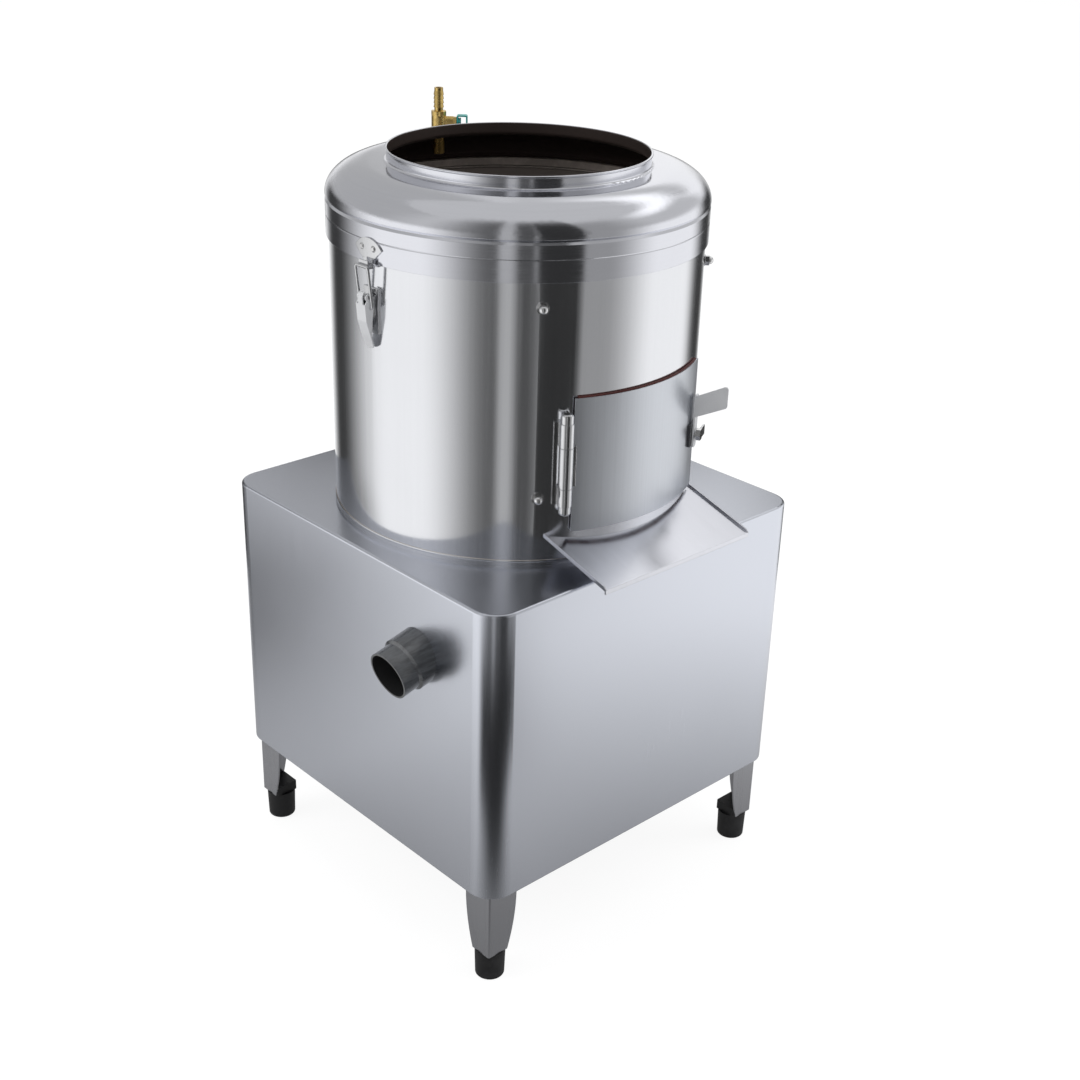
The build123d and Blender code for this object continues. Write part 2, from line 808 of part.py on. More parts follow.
# Barrel floor, a pan hung through the housing's top, with its drain spigot
with BuildPart() as barrel_floor:
    with BuildSketch(Plane.XZ):
        with BuildLine():
            Polyline(
                (barrel_inner_r - seat_gap, base_top_z),
                (barrel_inner_r - seat_gap, base_top_z + pan_sheet),
                (pan_r - pan_sheet, base_top_z + pan_sheet),
                (pan_r - pan_sheet, pan_floor_z + pan_sheet),
                (pan_collar_r, pan_floor_z + pan_sheet + pan_fall),
                (pan_collar_r, pan_collar_z),
                (pan_collar_r - pan_sheet, pan_collar_z),
                (pan_collar_r - pan_sheet, pan_floor_z + pan_fall),
                (pan_r, pan_floor_z),
                (pan_r, base_top_z),
                close=True,
            )
        make_face()
    revolve(axis=Axis.Z)
    with BuildSketch(Plane.XY.offset(pan_floor_z + pan_fall + pan_sheet)):
        with Locations((drain_x, drain_y)):
            Circle(spigot_r)
    extrude(amount=-spigot_length, mode=Mode.ADD)
    with BuildSketch(Plane.XY.offset(pan_floor_z + pan_fall + pan_sheet + cut_overrun)):
        with Locations((drain_x, drain_y)):
            Circle(spigot_r - spigot_sheet)
    extrude(amount=-spigot_length - 2 * cut_overrun, mode=Mode.SUBTRACT)
    with BuildSketch(Plane.XZ):
        with BuildLine():
            Polyline(
                (pan_r - pan_sheet, pan_floor_z + pan_sheet),
                (pan_collar_r, pan_floor_z + pan_sheet + pan_fall),
                (pan_collar_r, pan_floor_z + 2 * (pan_sheet + pan_fall)),
                (pan_r - pan_sheet, pan_floor_z + 2 * (pan_sheet + pan_fall)),
                close=True,
            )
        make_face()
    revolve(axis=Axis.Z, mode=Mode.SUBTRACT)
write_part(barrel_floor, "barrel_floor")


def make_liner(label, start_az, end_az, notches):
    """One curved abrasive panel, less the boxes that its neighbours and the doorway take."""
    with BuildPart() as liner:
        with BuildSketch(Plane.XY.offset(liner_bottom_z)):
            add(band(liner_inner_r, liner_outer_r, start_az, end_az))
        extrude(amount=liner_top_z - liner_bottom_z)
        for notch_start, notch_end, bottom_z, top_z in notches:
            with BuildSketch(Plane.XY.offset(bottom_z)):
                add(band(liner_inner_r - liner_t, liner_outer_r + liner_t, notch_start, notch_end))
            extrude(amount=top_z - bottom_z, mode=Mode.SUBTRACT)
        cut_bolt_holes(liner_bolt_places)
    write_part(liner, label)


liner_past_top = liner_top_z + liner_t
liner_past_bottom = liner_bottom_z - liner_t
liner_doorway_left_az = doorway_left_az - liner_door_margin_az
liner_doorway_right_az = doorway_right_az + liner_door_margin_az
liner_left_start_az = liner_left_joint_az + liner_joint_az
liner_rear_end_az = liner_left_joint_az + 360 - liner_joint_az
make_liner(
    "liner_left",
    liner_left_start_az,
    liner_doorway_left_az,
    [(liner_front_left_az - liner_joint_az, 0, liner_over_door_z - seat_gap, liner_past_top)],
)
make_liner(
    "liner_rear",
    liner_doorway_right_az,
    liner_rear_end_az,
    [(0, liner_front_right_az + liner_joint_az, liner_over_door_z - seat_gap, liner_past_top)],
)
make_liner(
    "liner_front",
    liner_front_left_az,
    liner_front_right_az,
    [
        (
            liner_front_left_az - liner_joint_az,
            liner_front_right_az + liner_joint_az,
            liner_past_bottom,
            liner_over_door_z,
        )
    ],
)

# Liner bolts, each with its washer and domed nut outside the barrel
head_out_r = sqrt(liner_inner_r**2 - bolt_head_r**2) - seat_gap
washer_in_r = barrel_r + running_gap
nut_in_r = washer_in_r + washer_t + running_gap
nut_out_r = nut_in_r + nut_t
with BuildPart() as liner_fasteners:
    for azimuth, height in liner_bolt_places:
        with BuildSketch(face_plane(azimuth, nut_in_r, height)):
            RegularPolygon(nut_af / 2, 6, major_radius=False)
        extrude(amount=nut_t)
        with BuildSketch(side_plane(azimuth)):
            with BuildLine():
                cap = CenterArc((nut_out_r, height), nut_dome_r, 0, 90)
                Line(cap @ 1, (nut_out_r, height))
                Line((nut_out_r, height), cap @ 0)
            make_face()
        cap_centre = radial(azimuth) * nut_out_r + Vector(0, 0, height)
        revolve(axis=Axis(cap_centre, radial(azimuth)))
        with BuildSketch(face_plane(azimuth, nut_in_r, height)):
            Circle(bolt_r + running_gap)
        extrude(amount=nut_t, mode=Mode.SUBTRACT)
        with BuildSketch(face_plane(azimuth, washer_in_r, height)):
            ring(bolt_r + running_gap, washer_r)
        extrude(amount=washer_t)
        with BuildSketch(face_plane(azimuth, head_out_r - bolt_head_t, height)):
            Circle(bolt_head_r)
        extrude(amount=bolt_head_t)
        with BuildSketch(face_plane(azimuth, head_out_r, height)):
            Circle(bolt_r)
        extrude(amount=nut_out_r - seat_gap - head_out_r)
write_part(liner_fasteners, "liner_fasteners")

# Hinge: fixed leaf with two knuckles, pin, and the door's leaf with the middle knuckle
hinge_axis_at = radial(hinge_az) * hinge_axis_r
hinge_web_in_r = sqrt(barrel_r**2 - hinge_knuckle_r**2)
hinge_leaf_near_az = hinge_az - degrees(asin(hinge_knuckle_r / 2 / barrel_r))
hinge_leaf_clear_az = hinge_az - degrees(asin((hinge_knuckle_r + body_gap) / barrel_r))
hinge_leaf_far_az = hinge_az - degrees(asin(hinge_leaf_w / barrel_r))


def draw_knuckle():
    """Draws a hinge knuckle round the hinge's axis in the active sketch."""
    with Locations((hinge_axis_at.X, hinge_axis_at.Y)):
        Circle(hinge_knuckle_r)


def cut_pin_hole(bottom_z, top_z, radius):
    """Cuts a hole along the hinge's axis through the active piece."""
    with BuildSketch(Plane.XY.offset(bottom_z - cut_overrun)) as hole:
        with Locations((hinge_axis_at.X, hinge_axis_at.Y)):
            Circle(radius)
    extrude(hole.sketch, amount=top_z - bottom_z + 2 * cut_overrun, mode=Mode.SUBTRACT)


with BuildPart() as hinge_fixed_leaf:
    with BuildSketch(Plane.XY.offset(hinge_bottom_z)):
        add(band(barrel_r + seat_gap, barrel_r + hinge_leaf_t, hinge_leaf_far_az, hinge_leaf_clear_az))
    extrude(amount=hinge_top_z - hinge_bottom_z)
    for low_z, high_z in (
        (hinge_bottom_z, hinge_lower_split_z),
        (hinge_upper_split_z, hinge_top_z),
    ):
        with BuildSketch(Plane.XY.offset(low_z)):
            draw_knuckle()
            add(
                band(barrel_r + seat_gap, barrel_r + hinge_leaf_t, hinge_leaf_clear_az, hinge_leaf_near_az)
            )
        extrude(amount=high_z - low_z)
        with BuildSketch(side_plane(hinge_az, -hinge_knuckle_r)):
            with Locations(((hinge_web_in_r + hinge_axis_r) / 2 + seat_gap, (low_z + high_z) / 2)):
                Rectangle(hinge_axis_r - hinge_web_in_r, high_z - low_z)
        extrude(amount=-hinge_web_t)
    cut_pin_hole(hinge_bottom_z, hinge_top_z, hinge_pin_r)
write_part(hinge_fixed_leaf, "hinge_fixed_leaf")

with BuildPart() as hinge_pin:
    with BuildSketch(Plane.XY.offset(hinge_bottom_z)):
        with Locations((hinge_axis_at.X, hinge_axis_at.Y)):
            Circle(hinge_pin_r)
    extrude(amount=hinge_top_z - hinge_bottom_z)
    for end_z, way in ((hinge_bottom_z, -1), (hinge_top_z, 1)):
        with BuildSketch(Plane.XY.offset(end_z)):
            with Locations((hinge_axis_at.X, hinge_axis_at.Y)):
                Circle(hinge_finial_r)
        extrude(amount=way * hinge_finial_h)
    finial_ends = hinge_pin.edges().group_by(Axis.Z)
    fillet(finial_ends[0] + finial_ends[-1], hinge_finial_r - hinge_pin_r)
write_part(hinge_pin, "hinge_pin")

knuckle_low_z = hinge_lower_split_z + body_gap
knuckle_high_z = hinge_upper_split_z - body_gap
door_leaf_far_az = hinge_az + degrees(asin((hinge_knuckle_r + door_leaf_w) / door_outer_r))
with BuildPart() as hinge_door_leaf:
    with BuildSketch(Plane.XY.offset(knuckle_low_z)):
        add(
            band(
                door_outer_r + seat_gap,
                door_outer_r + seat_gap + hinge_leaf_t,
                hinge_az + degrees(asin(hinge_pin_r / door_outer_r)),
                door_leaf_far_az,
            )
        )
    extrude(amount=knuckle_high_z - knuckle_low_z)
    with BuildSketch(Plane.XY.offset(knuckle_low_z)):
        draw_knuckle()
    extrude(amount=knuckle_high_z - knuckle_low_z)
    cut_pin_hole(knuckle_low_z, knuckle_high_z, hinge_pin_r + running_gap)
write_part(hinge_door_leaf, "hinge_door_leaf")

# Door panel and its seal
with BuildPart() as door_panel:
    with BuildSketch(Plane.XY.offset(door_bottom_z)):
        add(band(door_inner_r, door_outer_r, door_left_az, door_right_az))
    extrude(amount=door_top_z - door_bottom_z)
write_part(door_panel, "door_panel")

seal_left_az = door_left_az + seal_side_az
seal_right_az = door_right_az - seal_side_az
with BuildPart() as door_seal:
    with BuildSketch(Plane.XY.offset(door_bottom_z + seal_bottom_drop)):
        add(band(barrel_r + body_gap, door_inner_r, seal_left_az, seal_right_az))
    extrude(amount=door_top_z + seal_top_reach - door_bottom_z - seal_bottom_drop)
    with BuildSketch(Plane.XY.offset(doorway_bottom_z)):
        add(
            band(
                barrel_r - cut_overrun,
                door_outer_r + cut_overrun,
                doorway_left_az,
                doorway_right_az,
            )
        )
    extrude(amount=doorway_top_z - doorway_bottom_z, mode=Mode.SUBTRACT)
write_part(door_seal, "door_seal")

# Door latch: base plate, pivot bolt with nut, and turning lever
with BuildPart() as door_latch_base:
    with BuildSketch(face_plane(latch_az, door_inner_r, latch_z)):
        RectangleRounded(latch_base_w, latch_base_h, latch_bolt_r / 2)
    extrude(amount=latch_base_out_r - door_inner_r)
    with BuildSketch(Plane.XY.offset(latch_z - latch_base_h)):
        Circle(door_outer_r + seat_gap)
    extrude(amount=2 * latch_base_h, mode=Mode.SUBTRACT)
    with BuildSketch(face_plane(latch_az, door_inner_r, latch_z)):
        Circle(latch_bolt_r)
    extrude(amount=latch_base_out_r - door_inner_r + cut_overrun, mode=Mode.SUBTRACT)
write_part(door_latch_base, "door_latch_base")

latch_head_in_r = latch_strap_out_r + body_gap
latch_nut_in_r = latch_head_in_r + latch_bolt_head_t
with BuildPart() as door_latch_bolt:
    with BuildSketch(face_plane(latch_az, door_outer_r + seat_gap, latch_z)):
        Circle(latch_bolt_r)
    extrude(amount=latch_head_in_r - door_outer_r)
    with BuildSketch(face_plane(latch_az, latch_head_in_r, latch_z)):
        Circle(latch_bolt_head_r)
    extrude(amount=latch_bolt_head_t)
    with BuildSketch(face_plane(latch_az, latch_nut_in_r, latch_z)):
        RegularPolygon(latch_nut_af / 2, 6, major_radius=False)
    extrude(amount=latch_nut_t)
write_part(door_latch_bolt, "door_latch_bolt")

latch_tab_low = latch_reach - latch_tab_h
latch_tab_rise = latch_tab_reach * tan(radians(latch_tab_rise_angle))
latch_tab_root_r = latch_strap_in_r
with BuildPart() as door_latch_lever:
    with BuildSketch(face_plane(latch_az, latch_strap_in_r, latch_z)):
        with Locations((0, (latch_reach - latch_tail) / 2)):
            RectangleRounded(latch_strap_w, latch_reach + latch_tail, latch_bolt_r)
    extrude(amount=latch_strap_t)
    with BuildSketch(side_plane(latch_az, -latch_strap_w / 2)):
        with BuildLine():
            Polyline(
                (latch_tab_root_r, latch_z + latch_tab_low),
                (latch_tab_root_r, latch_z + latch_reach - latch_tab_corner_r),
                (latch_tab_root_r + latch_tab_corner_r, latch_z + latch_reach),
                (latch_tab_root_r + latch_tab_reach, latch_z + latch_reach + latch_tab_rise),
                (
                    latch_tab_root_r + latch_tab_reach,
                    latch_z + latch_tab_low + latch_tab_rise,
                ),
                close=True,
            )
        make_face()
    extrude(amount=-latch_tab_t)
    across = Axis((0, 0, 0), tangent(latch_az))
    tab_ends = door_latch_lever.edges().filter_by(across).sort_by_distance((0, 0, latch_z))
    fillet(tab_ends[-2:], latch_tab_corner_r)
    with BuildSketch(face_plane(latch_az, door_inner_r, latch_z)):
        Circle(latch_bolt_r + running_gap)
    extrude(amount=latch_strap_out_r - door_inner_r + cut_overrun, mode=Mode.SUBTRACT)
write_part(door_latch_lever, "door_latch_lever")

# Keeper on the barrel, under which the latch lever's strap turns
keeper_riser_top_z = latch_z - latch_strap_w / 2 - keeper_play
keeper_lip_in_r = latch_strap_out_r + body_gap + seat_gap
keeper_foot_r = barrel_r + keeper_foot_t
with BuildPart() as latch_keeper:
    with BuildSketch(side_plane(latch_az, keeper_near)):
        with BuildLine():
            Polyline(
                (barrel_inner_r - keeper_t, keeper_riser_top_z - keeper_foot_h),
                (keeper_foot_r, keeper_riser_top_z - keeper_foot_h),
                (keeper_foot_r, keeper_riser_top_z - keeper_riser_t),
                (keeper_lip_in_r + keeper_t, keeper_riser_top_z - keeper_riser_t),
                (keeper_lip_in_r + keeper_t, latch_z),
                (keeper_lip_in_r, latch_z),
                (keeper_lip_in_r, keeper_riser_top_z),
                (barrel_inner_r - keeper_t, keeper_riser_top_z),
                close=True,
            )
        make_face()
    extrude(amount=-keeper_w)
    with BuildSketch(Plane.XY.offset(keeper_riser_top_z - 2 * keeper_foot_h)):
        Circle(barrel_r + seat_gap)
    extrude(amount=latch_base_h + 2 * keeper_foot_h, mode=Mode.SUBTRACT)
write_part(latch_keeper, "latch_keeper")


def chute_height(y):
    """Height of the chute's top face at a place along Y."""
    return chute_lip_z + (y - chute_lip_y) * chute_rise_share


# Discharge chute: a sloping sheet with folded sides and lip, cut to the barrel
with BuildPart() as chute:
    rear_y = chute_inner_y + chute_flange_h
    with BuildSketch(Plane.YZ.offset(-chute_half_w)):
        with BuildLine():
            Polyline(
                (chute_lip_y, chute_height(chute_lip_y)),
                (0, chute_height(0)),
                (0, chute_height(0) - chute_sheet),
                (chute_lip_y + chute_sheet, chute_height(chute_lip_y) - chute_sheet),
                (chute_lip_y + chute_sheet, chute_lip_z - chute_lip_fold),
                (chute_lip_y, chute_lip_z - chute_lip_fold),
                close=True,
            )
        make_face()
    extrude(amount=2 * chute_half_w)
    for side_x in (-1, 1):
        with BuildSketch(Plane.YZ.offset(side_x * chute_half_w)):
            with BuildLine():
                Polyline(
                    (chute_lip_y, chute_height(chute_lip_y)),
                    (chute_lip_y + chute_flange_h, chute_height(chute_lip_y) + chute_flange_h),
                    (rear_y, chute_height(chute_inner_y) + chute_flange_h),
                    (rear_y, chute_height(rear_y) - chute_sheet),
                    (chute_lip_y, chute_height(chute_lip_y) - chute_sheet),
                    close=True,
                )
            make_face()
        extrude(amount=-side_x * chute_sheet)
    with BuildSketch(Plane.XY.offset(base_top_z)):
        Circle(barrel_r + seat_gap)
    extrude(amount=door_top_z - base_top_z, mode=Mode.SUBTRACT)
write_part(chute, "chute")

# Drain elbow inside the housing, spout outside it and the locknut between them
elbow_top_z = pan_floor_z - elbow_top_gap
elbow_end_x = -base_half - spout_socket_l + seat_gap
with BuildPart() as drain_elbow:
    with BuildLine() as elbow_path:
        ThreePointArc(
            (drain_x, drain_y, drain_z + elbow_bend_r),
            (
                drain_x - elbow_bend_r * (1 - cos(radians(elbow_middle_angle))),
                drain_y,
                drain_z + elbow_bend_r * (1 - sin(radians(elbow_middle_angle))),
            ),
            (drain_x - elbow_bend_r, drain_y, drain_z),
        )
        Line((drain_x - elbow_bend_r, drain_y, drain_z), (elbow_end_x, drain_y, drain_z))
    with BuildSketch(Plane(origin=elbow_path.wire() @ 0, z_dir=elbow_path.wire() % 0)):
        ring(elbow_pipe_bore_r, elbow_pipe_r)
    sweep(path=elbow_path.wire())
    socket_l = elbow_top_z - drain_z - elbow_bend_r
    with BuildSketch(Plane.XY.offset(elbow_top_z)):
        with Locations((drain_x, drain_y)):
            Circle(elbow_r)
    extrude(amount=-socket_l)
    with BuildSketch(Plane.XY.offset(elbow_top_z)):
        with Locations((drain_x, drain_y)):
            Circle(elbow_bore_r)
    extrude(amount=-socket_l + spigot_sheet, mode=Mode.SUBTRACT)
    with BuildSketch(Plane.XY.offset(elbow_top_z)):
        with Locations((drain_x, drain_y)):
            Circle(elbow_pipe_bore_r)
    extrude(amount=-socket_l, mode=Mode.SUBTRACT)
write_part(drain_elbow, "drain_elbow")

# The spout falls away from the wall: a wide collar, then a cup that is open at its mouth
spout_way = Vector(-cos(radians(spout_fall_angle)), 0, -sin(radians(spout_fall_angle)))
spout_root_at = Vector(-base_half, drain_y, drain_z)
with BuildPart() as drain_spout:
    with BuildSketch(Plane(origin=spout_root_at, x_dir=spout_way, z_dir=(0, -1, 0))):
        with BuildLine():
            Polyline(
                (-spout_root, 0),
                (-spout_root, spout_collar_r),
                (spout_collar_l, spout_collar_r),
                (spout_collar_l + spout_step_l, spout_body_r),
                (spout_length, spout_body_r),
                (spout_length, 0),
                close=True,
            )
        make_face()
    revolve(axis=Axis(spout_root_at, spout_way))
    with BuildSketch(Plane.YZ.offset(-base_half)) as past_wall:
        with Locations((drain_y, drain_z)):
            Circle(2 * spout_collar_r)
    extrude(past_wall.sketch, amount=2 * spout_root, mode=Mode.SUBTRACT)
    with BuildSketch(Plane.YZ.offset(-base_half)) as socket:
        with Locations((drain_y, drain_z)):
            Circle(elbow_pipe_r + seat_gap)
    extrude(socket.sketch, amount=-spout_socket_l, mode=Mode.SUBTRACT)
    with BuildSketch(Plane.YZ.offset(-base_half)) as pipe_bore:
        with Locations((drain_y, drain_z)):
            Circle(elbow_pipe_bore_r)
    extrude(pipe_bore.sketch, amount=-spout_pipe_bore_l, mode=Mode.SUBTRACT)
    cup_end_at = spout_root_at + spout_way * (spout_length + cut_overrun)
    with BuildSketch(Plane(origin=cup_end_at, x_dir=(0, 1, 0), z_dir=spout_way)) as cup:
        Circle(spout_bore_r)
    extrude(cup.sketch, amount=spout_floor_l - spout_length - cut_overrun, mode=Mode.SUBTRACT)
write_part(drain_spout, "drain_spout")

with BuildPart() as drain_locknut:
    with BuildSketch(Plane.YZ.offset(-base_inner_half)):
        with Locations((drain_y, drain_z)):
            RegularPolygon(locknut_r, 8)
            Circle(elbow_pipe_r + seat_gap, mode=Mode.SUBTRACT)
    extrude(amount=locknut_t)
write_part(drain_locknut, "drain_locknut")

# Drive shaft
with BuildPart() as drive_shaft:
    with BuildSketch(Plane.XY.offset(shaft_bottom_z)):
        Circle(shaft_r)
    extrude(amount=shaft_shoulder_z - shaft_bottom_z)
    with BuildSketch(Plane.XY.offset(shaft_shoulder_z)):
        Circle(shaft_tip_r)
    extrude(amount=shaft_tip_z - shaft_shoulder_z)
write_part(drive_shaft, "drive_shaft")

# Peeling disc with waves on top and waste paddles below
disc_bottom_z = disc_top_z - disc_t
with BuildPart() as peeling_disc:
    with BuildSketch(Plane.XZ):
        with BuildLine():
            Polyline(
                (0, shaft_shoulder_z),
                (disc_hub_r, shaft_shoulder_z),
                (disc_hub_r, disc_bottom_z),
                (disc_r - disc_rim_w, disc_bottom_z),
                (disc_r - disc_rim_w, disc_top_z - disc_rim_h),
                (disc_r, disc_top_z - disc_rim_h),
                (disc_r, disc_top_z),
                (disc_hub_r, disc_top_z),
                (disc_hub_r, disc_hub_top_z),
                (0, disc_hub_top_z),
                close=True,
            )
        make_face()
    revolve(axis=Axis.Z)
    for step in range(wave_count):
        azimuth = step * 360 / wave_count
        with BuildSketch(face_plane(azimuth, wave_start_r, disc_top_z)):
            with BuildLine():
                ThreePointArc((-wave_w / 2, 0), (0, wave_h), (wave_w / 2, 0))
                Line((wave_w / 2, 0), (-wave_w / 2, 0))
            make_face()
        extrude(amount=wave_length)
    for step in range(paddle_count):
        azimuth = 360 / wave_count / 2 + step * 360 / paddle_count
        with BuildSketch(side_plane(azimuth)):
            with Locations(
                ((paddle_start_r + paddle_end_r) / 2, disc_bottom_z - paddle_drop / 2)
            ):
                Rectangle(paddle_end_r - paddle_start_r, paddle_drop)
        extrude(amount=paddle_t / 2, both=True)
    with BuildSketch(Plane.XY.offset(shaft_shoulder_z)):
        Circle(shaft_tip_r)
    extrude(amount=disc_hub_top_z - shaft_shoulder_z, mode=Mode.SUBTRACT)
write_part(peeling_disc, "peeling_disc")

# Domed nut that holds the disc on the shaft
with BuildPart() as disc_nut:
    with BuildSketch(Plane.XY.offset(disc_hub_top_z)):
        RegularPolygon(disc_nut_af / 2, 6, major_radius=False)
    extrude(amount=disc_nut_t)
    with BuildSketch(Plane.XZ):
        with BuildLine():
            nut_arc = CenterArc((0, disc_hub_top_z + disc_nut_t), disc_nut_dome_r, 0, 90)
            Line(nut_arc @ 1, (0, disc_hub_top_z + disc_nut_t))
            Line((0, disc_hub_top_z + disc_nut_t), nut_arc @ 0)
        make_face()
    revolve(axis=Axis.Z)
    with BuildSketch(Plane.XY.offset(disc_hub_top_z)):
        Circle(shaft_tip_r)
    extrude(amount=shaft_tip_z - disc_hub_top_z, mode=Mode.SUBTRACT)
write_part(disc_nut, "disc_nut")


def pulley_section(pitch_r, hub_r, bore_r):
    """Half the section of a grooved pulley, as a sketch."""
    outer_r = pitch_r + groove_lip
    inner_r = outer_r - groove_depth
    with BuildSketch() as section:
        with BuildLine():
            Polyline(
                (bore_r, pulley_z + pulley_hub_w / 2),
                (hub_r, pulley_z + pulley_hub_w / 2),
                (hub_r, pulley_z + pulley_rim_w / 2),
                (outer_r, pulley_z + pulley_rim_w / 2),
                (outer_r, pulley_z + groove_outer_half),
                (inner_r, pulley_z + groove_inner_half),
                (inner_r, pulley_z - groove_inner_half),
                (outer_r, pulley_z - groove_outer_half),
                (outer_r, pulley_z - pulley_rim_w / 2),
                (hub_r, pulley_z - pulley_rim_w / 2),
                (hub_r, pulley_z - pulley_hub_w / 2),
                (bore_r, pulley_z - pulley_hub_w / 2),
                close=True,
            )
        make_face()
    return section.sketch


pulley_recess_r = pulley_pitch_r + groove_lip - groove_depth - pulley_rim_t
pulley_recess = (pulley_rim_w - pulley_web_w) / 2
with BuildPart() as driven_pulley:
    with BuildSketch(Plane.XZ):
        add(pulley_section(pulley_pitch_r, pulley_hub_r, shaft_r))
    revolve(axis=Axis.Z)
    for recess_z in (pulley_z + pulley_web_w / 2, pulley_z - pulley_rim_w / 2):
        with BuildSketch(Plane.XY.offset(recess_z)):
            ring(pulley_hub_r, pulley_recess_r)
        extrude(amount=pulley_recess, mode=Mode.SUBTRACT)
    with BuildSketch(Plane.XY.offset(pulley_z - pulley_rim_w / 2)):
        with PolarLocations(pulley_hole_circle_r, pulley_hole_count):
            Circle(pulley_hole_r)
    extrude(amount=pulley_rim_w, mode=Mode.SUBTRACT)
write_part(driven_pulley, "driven_pulley")

# Motor casing: flange, finned body, end bell, fan cowl and terminal box
motor_base_z = plate_top_z
motor_bell_z = motor_base_z + motor_flange_t + motor_body_h
motor_cowl_z = motor_bell_z + motor_bell_h
motor_at = (motor_x, motor_y)
motor_cavity_z = motor_base_z + motor_flange_t + motor_cavity_end
motor_cavity_h = motor_body_h - 2 * motor_cavity_end
motor_shaft_top_z = motor_cowl_z - motor_bell_h / 2
with BuildPart() as motor_body:
    with BuildSketch(Plane.XY.offset(motor_base_z)):
        with Locations(motor_at):
            Circle(motor_flange_r)
    extrude(amount=motor_flange_t)
    with BuildSketch(Plane.XY.offset(motor_base_z)):
        with Locations(motor_at):
            Circle(motor_body_r)
    extrude(amount=motor_cowl_z - motor_base_z)
    with BuildSketch(Plane.XY.offset(motor_base_z + motor_flange_t)):
        with Locations(motor_at):
            with PolarLocations(motor_body_r, motor_fin_count):
                Rectangle(2 * motor_fin_h, motor_fin_t)
    extrude(amount=motor_body_h)
    with BuildSketch(Plane.XY.offset(motor_cowl_z)):
        with Locations(motor_at):
            Circle(motor_cowl_r)
    extrude(amount=motor_cowl_h)
    fillet(motor_body.edges().group_by(Axis.Z)[-1], motor_cowl_edge_r)
    with BuildSketch(Plane.YZ.offset(motor_x + motor_body_r - motor_fin_h)):
        with Locations((motor_y, motor_base_z + motor_flange_t + motor_body_h / 2)):
            Rectangle(motor_box_w, motor_box_h)
    extrude(amount=motor_box_t + motor_fin_h)
    with BuildSketch(Plane.XY.offset(motor_cavity_z)):
        with Locations(motor_at):
            Circle(motor_cavity_r)
    extrude(amount=motor_cavity_h, mode=Mode.SUBTRACT)
    with BuildSketch(Plane.XY.offset(motor_base_z)):
        with Locations(motor_at):
            Circle(motor_shaft_r + running_gap)
    extrude(amount=motor_shaft_top_z + body_gap - motor_base_z, mode=Mode.SUBTRACT)
    with BuildSketch(Plane.XY.offset(motor_base_z)):
        with Locations(*m8_places[housing_bolt_count:]):
            Circle(bolt_m8_r)
    extrude(amount=bolt_m8_grip, mode=Mode.SUBTRACT)
write_part(motor_body, "motor_body")

# Bolts that hold the bearing housing and the motor, from under the drive plate
with BuildPart() as drive_bolts:
    with BuildSketch(Plane.XY.offset(rail_top_z)):
        with Locations(*m8_places):
            RegularPolygon(bolt_m8_head_r, 6)
    extrude(amount=-bolt_m8_head_t)
    with BuildSketch(Plane.XY.offset(rail_top_z)):
        with Locations(*m8_places):
            Circle(bolt_m8_r)
    extrude(amount=plate_t + bolt_m8_grip)
write_part(drive_bolts, "drive_bolts")

# Motor shaft with its rotor core
with BuildPart() as motor_shaft:
    with BuildSketch(Plane.XY.offset(pulley_z - pulley_hub_w / 2)):
        with Locations(motor_at):
            Circle(motor_shaft_r)
    extrude(amount=motor_shaft_top_z - pulley_z + pulley_hub_w / 2)
    with BuildSketch(Plane.XY.offset(motor_cavity_z + (motor_cavity_h - motor_core_h) / 2)):
        with Locations(motor_at):
            Circle(motor_core_r)
    extrude(amount=motor_core_h)
write_part(motor_shaft, "motor_shaft")

with BuildPart() as motor_pulley:
    with BuildSketch(Plane(origin=(motor_x, motor_y, 0), x_dir=(1, 0, 0), z_dir=(0, -1, 0))):
        add(pulley_section(motor_pitch_r, motor_hub_r, motor_shaft_r))
    revolve(axis=Axis((motor_x, motor_y, 0), (0, 0, 1)))
write_part(motor_pulley, "motor_pulley")

# Drive belt, on the pitch circles of the two pulleys
centre_distance = hypot(motor_x, motor_y)
across_share = (pulley_pitch_r - motor_pitch_r) / centre_distance
along_share = sqrt(1 - across_share**2)
line_x = Vector(motor_x, motor_y, 0) / centre_distance
line_y = Vector(-line_x.Y, line_x.X, 0)
driven_tangent = line_x * across_share * pulley_pitch_r
driven_side = line_y * along_share * pulley_pitch_r
motor_centre = line_x * centre_distance
motor_tangent = motor_centre + line_x * across_share * motor_pitch_r
motor_side = line_y * along_share * motor_pitch_r
belt_z = Vector(0, 0, pulley_z)
with BuildPart() as drive_belt:
    with BuildLine() as belt_path:
        Line(driven_tangent + driven_side + belt_z, motor_tangent + motor_side + belt_z)
        ThreePointArc(
            motor_tangent + motor_side + belt_z,
            motor_centre + line_x * motor_pitch_r + belt_z,
            motor_tangent - motor_side + belt_z,
        )
        Line(motor_tangent - motor_side + belt_z, driven_tangent - driven_side + belt_z)
        ThreePointArc(
            driven_tangent - driven_side + belt_z,
            line_x * -pulley_pitch_r + belt_z,
            driven_tangent + driven_side + belt_z,
        )
    belt_start = belt_path.wire() @ 0
    belt_outward = (line_x * across_share + line_y * along_share).normalized()
    with BuildSketch(Plane(origin=belt_start, x_dir=belt_outward, z_dir=belt_path.wire() % 0)):
        with BuildLine():
            Polyline(
                (belt_lip, belt_outer_half),
                (belt_lip, -belt_outer_half),
                (belt_lip - belt_depth, -belt_inner_half),
                (belt_lip - belt_depth, belt_inner_half),
                close=True,
            )
        make_face()
    sweep(path=belt_path.wire())
write_part(drive_belt, "drive_belt")

